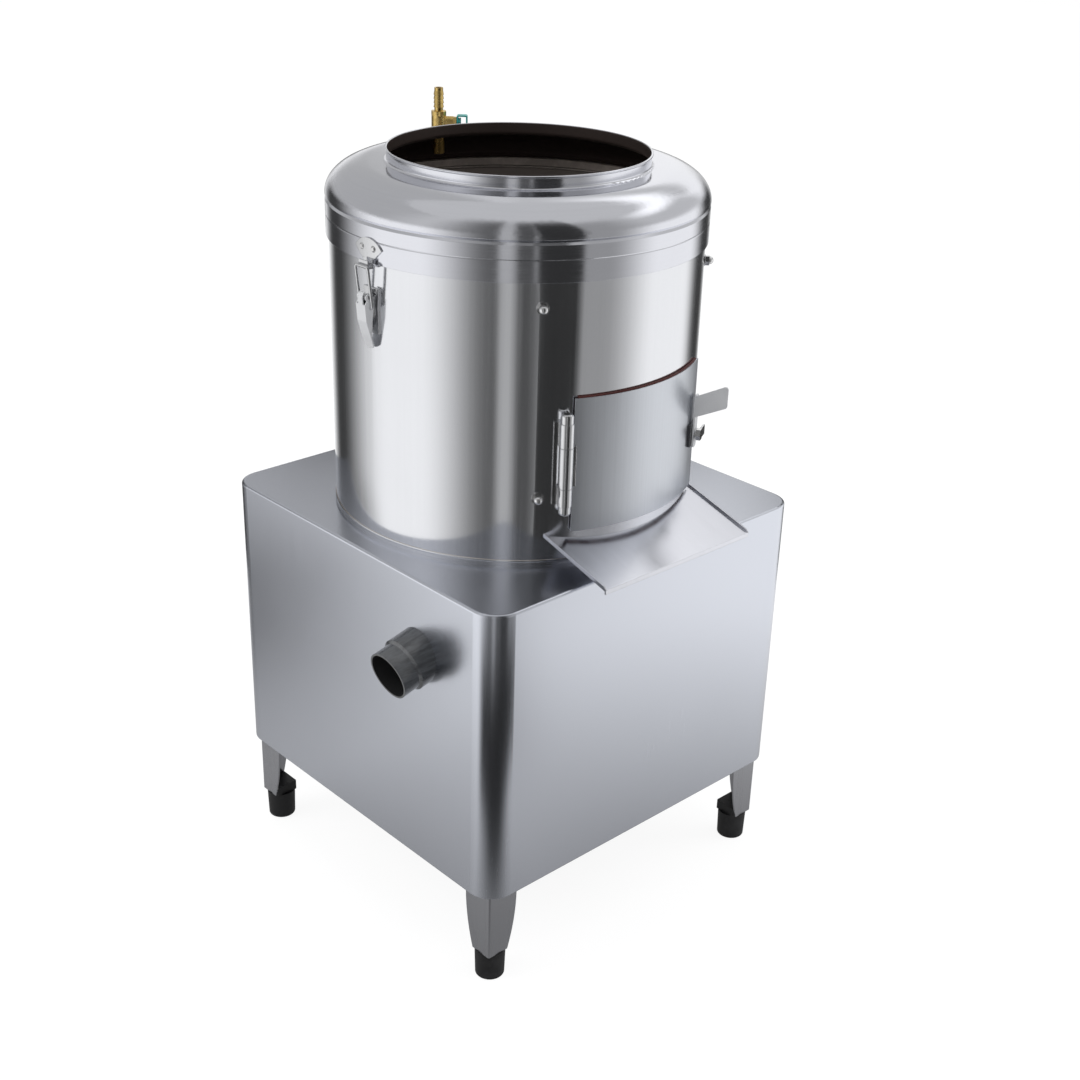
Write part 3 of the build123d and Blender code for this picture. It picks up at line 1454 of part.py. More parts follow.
# Cover: skirt, groove, dome, neck and rolled mouth, in one sheet
neck_fillet_at = (neck_foot_r, neck_foot_z + mouth_fillet_r)
cover_line_in_r = cover_skirt_r - cover_line_depth
groove_r = cover_skirt_r - cover_groove_depth
with BuildPart() as cover_dome:
    with BuildSketch(Plane.XZ):
        with BuildLine():
            skirt = Polyline(
                (cover_skirt_r, cover_bottom_z),
                (cover_skirt_r, cover_line_z - cover_line_half_h),
                (cover_line_in_r, cover_line_z),
                (cover_skirt_r, cover_line_z + cover_line_half_h),
                (cover_skirt_r, cover_skirt_top_z),
                (groove_r, cover_groove_z),
                (dome_r, dome_low_z),
            )
            EllipticalCenterArc((dome_centre_r, dome_low_z), dome_round_w, dome_round_h, 0, arc_size=90)
            Line((dome_centre_r, dome_shoulder_z), (neck_foot_r, neck_foot_z))
            CenterArc(neck_fillet_at, mouth_fillet_r, 180, 90)
            Polyline(
                (mouth_r, neck_foot_z + mouth_fillet_r),
                (mouth_r, mouth_top_z - mouth_lip_r),
                (mouth_r - cover_sheet, mouth_top_z - mouth_lip_r),
                (mouth_r - cover_sheet, neck_foot_z + mouth_fillet_r),
            )
            CenterArc(neck_fillet_at, mouth_fillet_r + cover_sheet, 180, 90)
            Line((neck_foot_r, neck_foot_z - cover_sheet), (dome_centre_r, dome_shoulder_z - cover_sheet))
            EllipticalCenterArc(
                (dome_centre_r, dome_low_z),
                dome_round_w - cover_sheet,
                dome_round_h - cover_sheet,
                0,
                arc_size=90,
            )
            inner_skirt = Polyline(
                (dome_r - cover_sheet, dome_low_z),
                (groove_r - cover_sheet, cover_groove_z),
                (cover_skirt_r - cover_sheet, cover_skirt_top_z),
                (cover_skirt_r - cover_sheet, cover_bottom_z),
            )
            Line(inner_skirt @ 1, skirt @ 0)
        make_face()
        with Locations((mouth_r - cover_sheet + mouth_lip_r, mouth_top_z - mouth_lip_r)):
            Circle(mouth_lip_r)
    revolve(axis=Axis.Z)
    valve_at = radial(valve_az) * valve_axis_r
    with BuildSketch(Plane.XY.offset(dome_low_z)):
        with Locations((valve_at.X, valve_at.Y)):
            Circle(valve_shank_r + seat_gap)
    extrude(amount=mouth_top_z - dome_low_z, mode=Mode.SUBTRACT)
    for azimuth in cover_rivet_azimuths:
        with BuildSketch(face_plane(azimuth, cover_skirt_r - cut_overrun, keeper_rivet_z)):
            Circle(draw_rivet_r)
        extrude(amount=2 * cut_overrun, mode=Mode.SUBTRACT)
write_part(cover_dome, "cover_dome")

with BuildPart() as cover_gasket:
    gasket_outer_r = cover_skirt_r - cover_sheet - seat_gap
    with BuildSketch(Plane.XY.offset(barrel_top_z + body_gap)):
        ring(gasket_outer_r - gasket_w, gasket_outer_r)
    extrude(amount=gasket_top_z - barrel_top_z - body_gap)
write_part(cover_gasket, "cover_gasket")

# Keepers on the cover's skirt, each an arched plate with a hook below the skirt's edge
keeper_in_r = cover_skirt_r + seat_gap
keeper_out_r = keeper_in_r + hook_t
hook_root_z = keeper_plate_wide_z - keeper_plate_half_w / 2
with BuildPart() as cover_keepers:
    for azimuth in draw_azimuths.values():
        with BuildSketch(face_plane(azimuth, dome_centre_r, 0)):
            with BuildLine():
                arch = ThreePointArc(
                    (-keeper_plate_half_w, keeper_plate_wide_z),
                    (0, keeper_plate_top_z),
                    (keeper_plate_half_w, keeper_plate_wide_z),
                )
                Polyline(
                    arch @ 1,
                    (hook_half_w, keeper_plate_low_z),
                    (-hook_half_w, keeper_plate_low_z),
                    arch @ 0,
                )
            make_face()
        extrude(amount=cover_skirt_r - dome_centre_r + 2 * hook_t)
    with BuildSketch(Plane.XY.offset(keeper_plate_low_z)):
        ring(keeper_in_r, keeper_out_r)
    extrude(amount=keeper_plate_top_z - keeper_plate_low_z, mode=Mode.INTERSECT)
    for azimuth in draw_azimuths.values():
        with BuildSketch(side_plane(azimuth)):
            with BuildLine():
                Polyline(
                    (keeper_in_r, hook_root_z),
                    (keeper_in_r, hook_bottom_z),
                    (hook_lip_r, hook_bottom_z),
                    (hook_lip_r, hook_lip_z),
                    (hook_lip_r - hook_t, hook_lip_z),
                    (hook_lip_r - hook_t, hook_bottom_z + hook_t),
                    (keeper_out_r, hook_bottom_z + hook_t),
                    (keeper_out_r, hook_root_z),
                    close=True,
                )
            make_face()
        extrude(amount=hook_half_w, both=True)
    for azimuth in cover_rivet_azimuths:
        with BuildSketch(face_plane(azimuth, cover_skirt_r - cut_overrun, keeper_rivet_z)):
            Circle(draw_rivet_r)
        extrude(amount=2 * cut_overrun, mode=Mode.SUBTRACT)
write_part(cover_keepers, "cover_keepers")


def add_rivet(azimuth, height, inner_r, seat_r):
    """Adds a rivet whose shank starts at one radius and whose head sits at another."""
    with BuildSketch(face_plane(azimuth, inner_r, height)) as shank:
        Circle(draw_rivet_r)
    extrude(shank.sketch, amount=seat_r - inner_r)
    with BuildSketch(face_plane(azimuth, seat_r, height)) as head_foot:
        Circle(draw_rivet_head_r)
    with BuildSketch(face_plane(azimuth, seat_r + draw_rivet_head_t, height)) as head_top:
        Circle(draw_rivet_r)
    loft([head_foot.sketch.face(), head_top.sketch.face()])


with BuildPart() as cover_rivets:
    for azimuth in cover_rivet_azimuths:
        add_rivet(azimuth, keeper_rivet_z, cover_skirt_r - cover_sheet, keeper_out_r)
write_part(cover_rivets, "cover_rivets")

# Draw latches on the barrel: base plates with ears, rivets and pins, levers and bails
draw_base_in_r = barrel_r + running_gap
draw_base_out_r = draw_base_in_r + draw_base_t
draw_base_half_az = degrees(asin(draw_base_half_w / barrel_r))


def make_draw_base(label, azimuth):
    """Base plate with two ears that carry the lever's pin."""
    with BuildPart() as base:
        with BuildSketch(Plane.XY.offset(draw_base_bottom_z)):
            add(
                band(
                    draw_base_in_r,
                    draw_base_out_r,
                    azimuth - draw_base_half_az,
                    azimuth + draw_base_half_az,
                )
            )
        extrude(amount=draw_base_top_z - draw_base_bottom_z)
        for way in (-1, 1):
            with BuildSketch(side_plane(azimuth, way * draw_ear_in)):
                with BuildLine():
                    Polyline(
                        (draw_base_in_r, draw_ear_low_z),
                        (draw_pivot_r, draw_pivot_z - draw_ear_r),
                        (draw_pivot_r, draw_pivot_z + draw_ear_r),
                        (draw_base_in_r, draw_ear_high_z + draw_ear_r),
                        close=True,
                    )
                make_face()
                with Locations((draw_pivot_r, draw_pivot_z)):
                    Circle(draw_ear_r)
            extrude(amount=-way * draw_ear_t)
        with BuildSketch(side_plane(azimuth, -draw_base_half_w)):
            with Locations((draw_pivot_r, draw_pivot_z)):
                Circle(draw_pin_r)
        extrude(amount=-2 * draw_base_half_w, mode=Mode.SUBTRACT)
        for height in (draw_rivet_z_low, draw_rivet_z_high):
            with BuildSketch(face_plane(azimuth, barrel_r - cut_overrun, height)):
                Circle(draw_rivet_r)
            extrude(amount=3 * cut_overrun, mode=Mode.SUBTRACT)
        with BuildSketch(Plane.XY.offset(draw_base_bottom_z)):
            Circle(draw_base_in_r)
        extrude(amount=draw_base_top_z - draw_base_bottom_z, mode=Mode.SUBTRACT)
    write_part(base, label)


def make_draw_lever(label, azimuth):
    """Lever: a plate that curls over the pin, with a folded flange on each side."""
    curl_in_r = draw_lever_curl_r - draw_lever_sheet
    with BuildPart() as lever:
        with BuildSketch(side_plane(azimuth)):
            with BuildLine():
                outer = CenterArc(
                    (draw_pivot_r, draw_pivot_z), draw_lever_curl_r, 0, draw_curl_start_angle
                )
                inner = CenterArc((draw_pivot_r, draw_pivot_z), curl_in_r, 0, draw_curl_start_angle)
                Line(outer @ 1, inner @ 1)
                Polyline(
                    outer @ 0,
                    (draw_lever_knee_r, draw_lever_knee_z),
                    (draw_lever_knee_r - draw_lever_sheet, draw_lever_knee_z),
                    inner @ 0,
                )
            make_face()
        extrude(amount=draw_tongue_half_w, both=True)
        with BuildSketch(side_plane(azimuth)):
            with BuildLine():
                Polyline(
                    (draw_plate_top_r, draw_plate_top_z),
                    (draw_lever_knee_r, draw_lever_knee_z),
                    (draw_lever_end_r, draw_lever_end_z),
                    (draw_lever_end_r - draw_lever_sheet, draw_lever_end_z),
                    (draw_lever_knee_r - draw_lever_sheet, draw_lever_knee_z),
                    (draw_plate_top_r - draw_lever_sheet, draw_plate_top_z),
                    close=True,
                )
            make_face()
        extrude(amount=draw_lever_half_w, both=True)
        with BuildSketch(face_plane(azimuth, barrel_r, 0)):
            with BuildLine():
                tip = ThreePointArc(
                    (-draw_lever_half_w, draw_lever_end_z + draw_lever_half_w / 2),
                    (0, draw_lever_end_z),
                    (draw_lever_half_w, draw_lever_end_z + draw_lever_half_w / 2),
                )
                Polyline(
                    tip @ 1,
                    (draw_lever_half_w, draw_pivot_z + draw_base_half_w),
                    (-draw_lever_half_w, draw_pivot_z + draw_base_half_w),
                    tip @ 0,
                )
            make_face()
        extrude(amount=2 * draw_base_half_w, mode=Mode.INTERSECT)
        for way in (-1, 1):
            with BuildSketch(side_plane(azimuth, way * draw_lever_half_w)):
                with BuildLine():
                    Polyline(
                        (draw_pivot_r - draw_ear_r, draw_pivot_z),
                        (draw_pivot_r, draw_pivot_z),
                        (draw_plate_top_r - draw_lever_sheet / 2, draw_plate_top_z),
                        (draw_lever_knee_r - draw_lever_sheet / 2, draw_lever_knee_z),
                        (draw_flange_low_r, draw_flange_low_z),
                        (draw_flange_in_r, draw_lever_knee_z),
                        (draw_bail_pivot_r - draw_flange_eye_r, draw_bail_pivot_z),
                        close=True,
                    )
                make_face()
                with Locations(
                    (draw_pivot_r, draw_pivot_z), (draw_bail_pivot_r, draw_bail_pivot_z)
                ):
                    Circle(draw_flange_eye_r)
            extrude(amount=way * draw_lever_sheet)
        for eye_r, eye_z, hole_r in (
            (draw_pivot_r, draw_pivot_z, draw_pin_r + running_gap),
            (draw_bail_pivot_r, draw_bail_pivot_z, draw_bail_wire_r + running_gap),
        ):
            with BuildSketch(side_plane(azimuth, -draw_base_half_w)):
                with Locations((eye_r, eye_z)):
                    Circle(hole_r)
            extrude(amount=-2 * draw_base_half_w, mode=Mode.SUBTRACT)
    write_part(lever, label)


def make_draw_bail(label, azimuth):
    """Bail: a wire loop whose ends turn in through the lever's flanges."""
    def spot(shift, outward, height):
        return radial(azimuth) * outward + tangent(azimuth) * shift + Vector(0, 0, height)

    end_in = draw_lever_half_w - draw_lever_sheet + seat_gap
    with BuildPart() as bail:
        with BuildLine() as loop:
            FilletPolyline(
                spot(end_in, draw_bail_pivot_r, draw_bail_pivot_z),
                spot(draw_bail_half_w, draw_bail_pivot_r, draw_bail_pivot_z),
                spot(draw_bail_half_w, draw_bail_top_r, draw_bail_top_z),
                spot(-draw_bail_half_w, draw_bail_top_r, draw_bail_top_z),
                spot(-draw_bail_half_w, draw_bail_pivot_r, draw_bail_pivot_z),
                spot(-end_in, draw_bail_pivot_r, draw_bail_pivot_z),
                radius=draw_bail_bend_r,
            )
        with BuildSketch(Plane(origin=loop.wire() @ 0, z_dir=loop.wire() % 0)):
            Circle(draw_bail_wire_r)
        sweep(path=loop.wire())
    write_part(bail, label)


for side_name, azimuth in draw_azimuths.items():
    make_draw_base(f"draw_latch_base_{side_name}", azimuth)
    make_draw_lever(f"draw_latch_lever_{side_name}", azimuth)
    make_draw_bail(f"draw_latch_bail_{side_name}", azimuth)

with BuildPart() as draw_latch_rivets:
    for azimuth in draw_azimuths.values():
        for height in (draw_rivet_z_low, draw_rivet_z_high):
            add_rivet(azimuth, height, barrel_inner_r, draw_base_out_r)
        with BuildSketch(side_plane(azimuth, -draw_lever_half_w)):
            with Locations((draw_pivot_r, draw_pivot_z)):
                Circle(draw_pin_r)
        extrude(amount=-2 * draw_lever_half_w)
write_part(draw_latch_rivets, "draw_latch_rivets")

# Water inlet: ball valve on the cover, hose barb above it, handle on its stem
with BuildPart() as valve_body:
    with BuildSketch(Plane.XY.offset(valve_foot_top_z)):
        with Locations((valve_at.X, valve_at.Y)):
            RegularPolygon(valve_foot_af / 2, 6, major_radius=False)
    extrude(amount=-valve_foot_h)
    with BuildSketch(Plane.XZ):
        with BuildLine():
            seat = EllipticalCenterArc(
                (dome_centre_r, dome_low_z),
                dome_round_w + seat_gap,
                dome_round_h + seat_gap,
                0,
                arc_size=90,
            )
            Polyline(
                seat @ 1,
                (neck_foot_r, neck_foot_z + seat_gap),
                (neck_foot_r, dome_low_z),
                seat @ 0,
            )
        make_face()
    revolve(axis=Axis.Z, mode=Mode.SUBTRACT)
    with BuildSketch(Plane.XY.offset(valve_bottom_z)):
        with Locations((valve_at.X, valve_at.Y)):
            Circle(valve_shank_r)
    extrude(amount=valve_foot_top_z - valve_bottom_z)
    with BuildSketch(Plane.XY.offset(valve_foot_top_z)):
        with Locations((valve_at.X, valve_at.Y)):
            Circle(valve_body_r)
    extrude(amount=valve_top_hex_z + valve_top_hex_h - valve_foot_top_z)
    with BuildSketch(Plane.XY.offset(valve_top_hex_z)):
        with Locations((valve_at.X, valve_at.Y)):
            RegularPolygon(valve_top_hex_af / 2, 6, major_radius=False)
    extrude(amount=valve_top_hex_h)
    stem_at = valve_at + Vector(0, 0, valve_stem_z)
    stem_face = Plane(origin=stem_at, x_dir=tangent(valve_stem_az), z_dir=radial(valve_stem_az))
    with BuildSketch(stem_face):
        Circle(valve_boss_r)
    extrude(amount=valve_boss_reach)
    with BuildSketch(stem_face.offset(valve_boss_reach)):
        RegularPolygon(valve_boss_r, 6)
    extrude(amount=valve_gland_t)
    with BuildSketch(stem_face.offset(valve_body_r - valve_stem_depth)):
        Circle(valve_stem_r + running_gap)
    extrude(amount=valve_boss_reach + valve_gland_t, mode=Mode.SUBTRACT)
    with BuildSketch(Plane.XY.offset(valve_bottom_z)):
        with Locations((valve_at.X, valve_at.Y)):
            Circle(valve_bore_r)
    extrude(amount=valve_stem_z - valve_boss_r - valve_bottom_z, mode=Mode.SUBTRACT)
    valve_top_z = valve_top_hex_z + valve_top_hex_h
    with BuildSketch(Plane.XY.offset(valve_top_z)):
        with Locations((valve_at.X, valve_at.Y)):
            Circle(barb_r + running_gap)
    extrude(amount=-barb_thread_l, mode=Mode.SUBTRACT)
write_part(valve_body, "valve_body")

barb_points = [
    (valve_bore_r, valve_top_z - barb_thread_l),
    (barb_r, valve_top_z - barb_thread_l),
    (barb_r, valve_top_z + barb_first_ridge),
]
for step in range(barb_ridge_count):
    ridge_z = valve_top_z + barb_first_ridge + step * barb_ridge_pitch
    barb_points += [(barb_ridge_r, ridge_z), (barb_r, ridge_z + barb_ridge_pitch)]
barb_points += [(barb_r, barb_top_z), (valve_bore_r, barb_top_z)]
with BuildPart() as hose_barb:
    with BuildSketch(Plane(origin=valve_at, x_dir=(1, 0, 0), z_dir=(0, -1, 0))):
        with BuildLine():
            Polyline(*barb_points, close=True)
        make_face()
    revolve(axis=Axis(valve_at, (0, 0, 1)))
write_part(hose_barb, "hose_barb")

handle_in = valve_boss_reach + valve_gland_t + body_gap
handle_far = handle_in + handle_offset
with BuildPart() as valve_handle:
    with BuildSketch(Plane(origin=valve_at, x_dir=radial(valve_stem_az), z_dir=tangent(valve_stem_az) * -1)):
        with BuildLine():
            Polyline(
                (handle_in, valve_stem_z - handle_arm_w / 2),
                (handle_in, handle_top_z),
                (handle_far, handle_top_z),
                (handle_far, handle_end_z),
                (handle_far - handle_t, handle_end_z),
                (handle_far - handle_t, handle_top_z - handle_t),
                (handle_in + handle_t, handle_top_z - handle_t),
                (handle_in + handle_t, valve_stem_z - handle_arm_w / 2),
                close=True,
            )
        make_face()
    extrude(amount=handle_arm_w / 2, both=True)
    bends = valve_handle.edges().filter_by(Axis((0, 0, 0), tangent(valve_stem_az)))
    fillet(bends.group_by(Axis.Z)[-1], handle_bend_r)
    with BuildSketch(stem_face.offset(handle_in)):
        Circle(valve_stem_r)
    extrude(amount=handle_t, mode=Mode.SUBTRACT)
    with BuildSketch(stem_face.offset(valve_body_r - valve_stem_depth + seat_gap)):
        Circle(valve_stem_r - running_gap)
    extrude(amount=valve_stem_reach - valve_body_r + valve_stem_depth)
    with BuildSketch(stem_face.offset(handle_in + handle_t)):
        RegularPolygon(handle_nut_af / 2, 6, major_radius=False)
    extrude(amount=handle_nut_t)
write_part(valve_handle, "valve_handle")

# Switch box on the right wall, hollow behind, with a contact block behind each button
switch_face_x = base_half + switch_depth
button_heights = {"start_button": switch_z + button_spacing / 2, "stop_button": switch_z - button_spacing / 2}
with BuildPart() as switch_box:
    with BuildSketch(Plane.YZ.offset(base_half)):
        with Locations((switch_y, switch_z)):
            RectangleRounded(switch_w, switch_h, switch_edge_r)
    extrude(amount=switch_depth)
    fillet(switch_box.edges().group_by(Axis.X)[-1], switch_edge_r / 2)
    with BuildSketch(Plane.YZ.offset(base_half)):
        with Locations((switch_y, switch_z)):
            RectangleRounded(switch_w - 2 * switch_wall, switch_h - 2 * switch_wall, switch_wall)
    extrude(amount=switch_depth - switch_wall, mode=Mode.SUBTRACT)
    for height in button_heights.values():
        with BuildSketch(Plane.YZ.offset(switch_face_x)):
            with Locations((switch_y, height)):
                Circle(button_r + switch_wall)
        extrude(amount=-button_well_depth - switch_wall)
        with BuildSketch(Plane.YZ.offset(switch_face_x)):
            with Locations((switch_y, height)):
                Circle(button_r + body_gap)
        extrude(amount=-button_well_depth, mode=Mode.SUBTRACT)
write_part(switch_box, "switch_box")


def make_button(label, flare):
    """One push button, standing out of its well; the stop button has a wide head."""
    button_in_x = switch_face_x - button_well_depth + button_travel + body_gap
    with BuildPart() as button:
        with BuildSketch(Plane.YZ.offset(button_in_x)):
            with Locations((switch_y, button_heights[label])):
                Circle(button_r)
        extrude(amount=switch_face_x + button_out - button_in_x)
        if flare:
            with BuildSketch(Plane.YZ.offset(switch_face_x + button_out)):
                with Locations((switch_y, button_heights[label])):
                    Circle(stop_flare_r)
            extrude(amount=stop_flare_t)
        fillet(button.edges().group_by(Axis.X)[-1], button_edge_r)
    write_part(button, label)


make_button("start_button", False)
make_button("stop_button", True)

# Cable gland through the rear wall
with BuildPart() as cable_gland:
    with BuildSketch(Plane.XZ.offset(-base_inner_half + gland_inside)):
        with Locations((gland_x, gland_z)):
            Circle(gland_r)
    extrude(amount=-base_sheet - gland_inside - gland_hex_t)
    with BuildSketch(Plane.XZ.offset(-base_half)):
        with Locations((gland_x, gland_z)):
            RegularPolygon(gland_nut_r, 6)
    extrude(amount=-gland_hex_t)
    with BuildSketch(Plane.XZ.offset(-base_half - gland_hex_t)):
        with Locations((gland_x, gland_z)):
            Circle(gland_nut_r * gland_dome_share)
    extrude(amount=-gland_out + gland_hex_t)
    fillet(cable_gland.edges().group_by(Axis.Y)[-1], gland_nut_r - gland_r)
    with BuildSketch(Plane.XZ.offset(-base_inner_half)):
        with Locations((gland_x, gland_z)):
            RegularPolygon(gland_nut_r, 6)
    extrude(amount=gland_hex_t)
    with BuildSketch(Plane.XZ.offset(-base_inner_half + gland_inside)):
        with Locations((gland_x, gland_z)):
            Circle(gland_bore_r)
    extrude(amount=-base_sheet - gland_inside - gland_out, mode=Mode.SUBTRACT)
write_part(cable_gland, "cable_gland")
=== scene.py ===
import math

import bpy
from mathutils import Matrix, Vector

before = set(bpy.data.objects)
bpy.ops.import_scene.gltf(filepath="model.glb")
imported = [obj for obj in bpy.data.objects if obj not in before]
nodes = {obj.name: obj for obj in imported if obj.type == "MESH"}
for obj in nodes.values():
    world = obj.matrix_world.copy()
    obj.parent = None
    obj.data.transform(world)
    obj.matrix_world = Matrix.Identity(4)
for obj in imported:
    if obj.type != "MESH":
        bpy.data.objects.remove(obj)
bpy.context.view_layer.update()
scene = bpy.context.scene


# Camera, at the photograph's viewing angle

camera_place = Vector((-1.12835, -1.24422, 1.18450))
camera_yaw, camera_pitch, camera_roll = (math.radians(a) for a in (43.354415, -25.133787, 1.689110))
focal_pixels, frame_pixels = 1586.47027, 1080
sensor_width = 36
near_clip, far_clip = 0.01, 50


def place_camera():
    ahead = Vector((math.sin(camera_yaw) * math.cos(camera_pitch),
                    math.cos(camera_yaw) * math.cos(camera_pitch),
                    math.sin(camera_pitch)))
    side = ahead.cross(Vector((0, 0, 1))).normalized()
    above = side.cross(ahead)
    right = side * math.cos(camera_roll) + above * math.sin(camera_roll)
    up = above * math.cos(camera_roll) - side * math.sin(camera_roll)
    data = bpy.data.cameras.new("camera")
    data.sensor_width = sensor_width
    data.lens = focal_pixels * sensor_width / frame_pixels
    data.clip_start, data.clip_end = near_clip, far_clip
    camera = bpy.data.objects.new("camera", data)
    scene.collection.objects.link(camera)
    camera.matrix_world = Matrix((
        (right.x, up.x, -ahead.x, camera_place.x),
        (right.y, up.y, -ahead.y, camera_place.y),
        (right.z, up.z, -ahead.z, camera_place.z),
        (0, 0, 0, 1),
    ))
    scene.camera = camera


place_camera()
scene.view_settings.view_transform = "Standard"


# Node helpers

noise_low, noise_high = 0.3, 0.7  # most of a noise's values lie between these
bevel_samples = 4


class Tree:
    """A material's node tree, with short calls for the nodes used here."""

    def __init__(self, name):
        self.material = bpy.data.materials.new(name)
        self.material.use_nodes = True
        self.tree = self.material.node_tree
        self.shader = self.tree.nodes["Principled BSDF"]
        self.place = self.add("ShaderNodeTexCoord").outputs["Object"]

    def add(self, kind, **settings):
        node = self.tree.nodes.new(kind)
        for key, value in settings.items():
            setattr(node, key, value)
        return node

    def link(self, source, target):
        self.tree.links.new(source, target)

    def only_surface(self, surface):
        """Takes the Principled shader out and ends the tree in another one."""
        self.tree.nodes.remove(self.shader)
        self.link(surface, self.tree.nodes["Material Output"].inputs["Surface"])

    def stretched(self, scale):
        mapping = self.add("ShaderNodeMapping")
        mapping.inputs["Scale"].default_value = scale
        self.link(self.place, mapping.inputs["Vector"])
        return mapping.outputs["Vector"]

    def noise(self, scale, stretch=(1, 1, 1), detail=3, roughness=0.5, distortion=0):
        node = self.add("ShaderNodeTexNoise")
        node.inputs["Scale"].default_value = scale
        node.inputs["Detail"].default_value = detail
        node.inputs["Roughness"].default_value = roughness
        node.inputs["Distortion"].default_value = distortion
        self.link(self.stretched(stretch), node.inputs["Vector"])
        return node.outputs["Fac"]

    def cells(self, scale):
        node = self.add("ShaderNodeTexVoronoi", feature="F1")
        node.inputs["Scale"].default_value = scale
        self.link(self.place, node.inputs["Vector"])
        return node.outputs["Distance"]

    def spread(self, value, low, high, out_low, out_high):
        node = self.add("ShaderNodeMapRange")
        node.inputs["From Min"].default_value = low
        node.inputs["From Max"].default_value = high
        node.inputs["To Min"].default_value = out_low
        node.inputs["To Max"].default_value = out_high
        self.link(value, node.inputs["Value"])
        return node.outputs["Result"]

    def vary(self, noise, out_low, out_high):
        """A noise turned into values from out_low to out_high."""
        return self.spread(noise, noise_low, noise_high, out_low, out_high)

    def math(self, operation, first, second):
        node = self.add("ShaderNodeMath", operation=operation)
        for slot, value in zip(node.inputs, (first, second)):
            if isinstance(value, (int, float)):
                slot.default_value = value
            else:
                self.link(value, slot)
        return node.outputs["Value"]

    def mix(self, factor, first, second):
        node = self.add("ShaderNodeMix", data_type="RGBA")
        self.link(factor, node.inputs["Factor"])
        for name, value in (("A", first), ("B", second)):
            slot = [s for s in node.inputs if s.name == name and s.type == "RGBA"][0]
            if isinstance(value, tuple):
                slot.default_value = (*value, 1)
            else:
                self.link(value, slot)
        return [s for s in node.outputs if s.type == "RGBA"][0]

    def blend(self, value, low, high, first, second):
        """The first colour where a value is low, the second where it is high."""
        return self.mix(self.spread(value, low, high, 0, 1), first, second)

    def mix_shaders(self, factor, first, second):
        """The first shader where the factor is 0, the second where it is 1."""
        node = self.add("ShaderNodeMixShader")
        if isinstance(factor, (int, float)):
            node.inputs["Fac"].default_value = factor
        else:
            self.link(factor, node.inputs["Fac"])
        self.link(first, node.inputs[1])
        self.link(second, node.inputs[2])
        return node.outputs[0]

    def bump(self, height, distance, under=None):
        node = self.add("ShaderNodeBump")
        node.inputs["Strength"].default_value = 1
        node.inputs["Distance"].default_value = distance
        self.link(height, node.inputs["Height"])
        if under is not None:
            self.link(under, node.inputs["Normal"])
        return node.outputs["Normal"]

    def vector_math(self, operation, first, second=None):
        node = self.add("ShaderNodeVectorMath", operation=operation)
        for slot, value in zip(node.inputs, (first, second)):
            if isinstance(value, tuple):
                slot.default_value = value
            elif value is not None:
                self.link(value, slot)
        return node.outputs

    def facing(self, centre):
        """More than 0 on sides that face away from a centre, less than 0 on those that face it."""
        arm = self.vector_math("SUBTRACT", self.place, centre)["Vector"]
        normal = self.add("ShaderNodeNewGeometry").outputs["True Normal"]
        return self.vector_math("DOT_PRODUCT", arm, normal)["Value"]

    def axis_distance(self, point, way):
        """Distance from the line through a point along a unit vector."""
        arm = self.vector_math("SUBTRACT", self.place, point)["Vector"]
        cross = self.vector_math("CROSS_PRODUCT", arm, way)["Vector"]
        return self.vector_math("LENGTH", cross)["Value"]

    def floor_distance(self, x, y):
        """How far a place on the floor is from (x, y)."""
        return self.vector_math("DISTANCE", self.place, (x, y, 0))["Value"]

    def soft_edges(self, radius):
        node = self.add("ShaderNodeBevel", samples=bevel_samples)
        node.inputs["Radius"].default_value = radius
        return node.outputs["Normal"]

    def set(self, name, value):
        slot = self.shader.inputs[name]
        if isinstance(value, (int, float)):
            slot.default_value = value
        elif isinstance(value, tuple):
            slot.default_value = (*value, 1)
        else:
            self.link(value, slot)


def shade(colour, factor):
    return tuple(min(1.0, c * factor) for c in colour)


# Materials. Every one has its own noise in colour, roughness and bump

def steel(name, colour, roughness, grain, grain_depth, rough_spread=0.05, wave=None, edge=0.0006,
          tone_spread=0.05, dull_and_shade_centre=None, dull_and_shade_colour=None):
    """Sheet or turned steel. grain is the noise's stretch: large numbers run across the brushing.
    wave is the stretch and depth of slow dents. Sides that face the dull centre take the dull colour and are
    less metallic and rougher: the barrel's inside turns a dull brownish grey, and the cover's inside is
    painted near-black, a painted shade."""
    dull_metallic, dull_roughness = 0.45, 0.22
    t = Tree(name)
    fine = t.noise(1, grain, detail=4, roughness=0.6)
    cloud = t.noise(7, detail=4, roughness=0.55, distortion=0.4)
    tone = t.blend(t.math("ADD", fine, cloud), 0.7, 1.3,
                   shade(colour, 1 - tone_spread), shade(colour, 1 + tone_spread))
    rough = t.math("ADD", t.vary(fine, -rough_spread, rough_spread),
                   t.vary(cloud, roughness - rough_spread / 2, roughness + rough_spread / 2))
    if dull_and_shade_centre:
        inside = t.math("LESS_THAN", t.facing(dull_and_shade_centre), 0)
        # Inner sides take the dull colour: painted shade (near-black) inside the cover, a duller brownish
        # grey in the barrel
        tone = t.mix(inside, tone, dull_and_shade_colour)
        rough = t.math("ADD", rough, t.math("MULTIPLY", inside, dull_roughness))
        t.set("Metallic", t.spread(inside, 0, 1, 1.0, dull_metallic))
    else:
        t.set("Metallic", 1.0)
    t.set("Base Color", tone)
    t.set("Roughness", rough)
    normal = t.soft_edges(edge) if edge else None
    if wave:
        wave_stretch, wave_depth = wave
        normal = t.bump(t.noise(1, wave_stretch, detail=1, roughness=0.3), wave_depth, under=normal)
    t.set("Normal", t.bump(fine, grain_depth, under=normal))
    return t.material


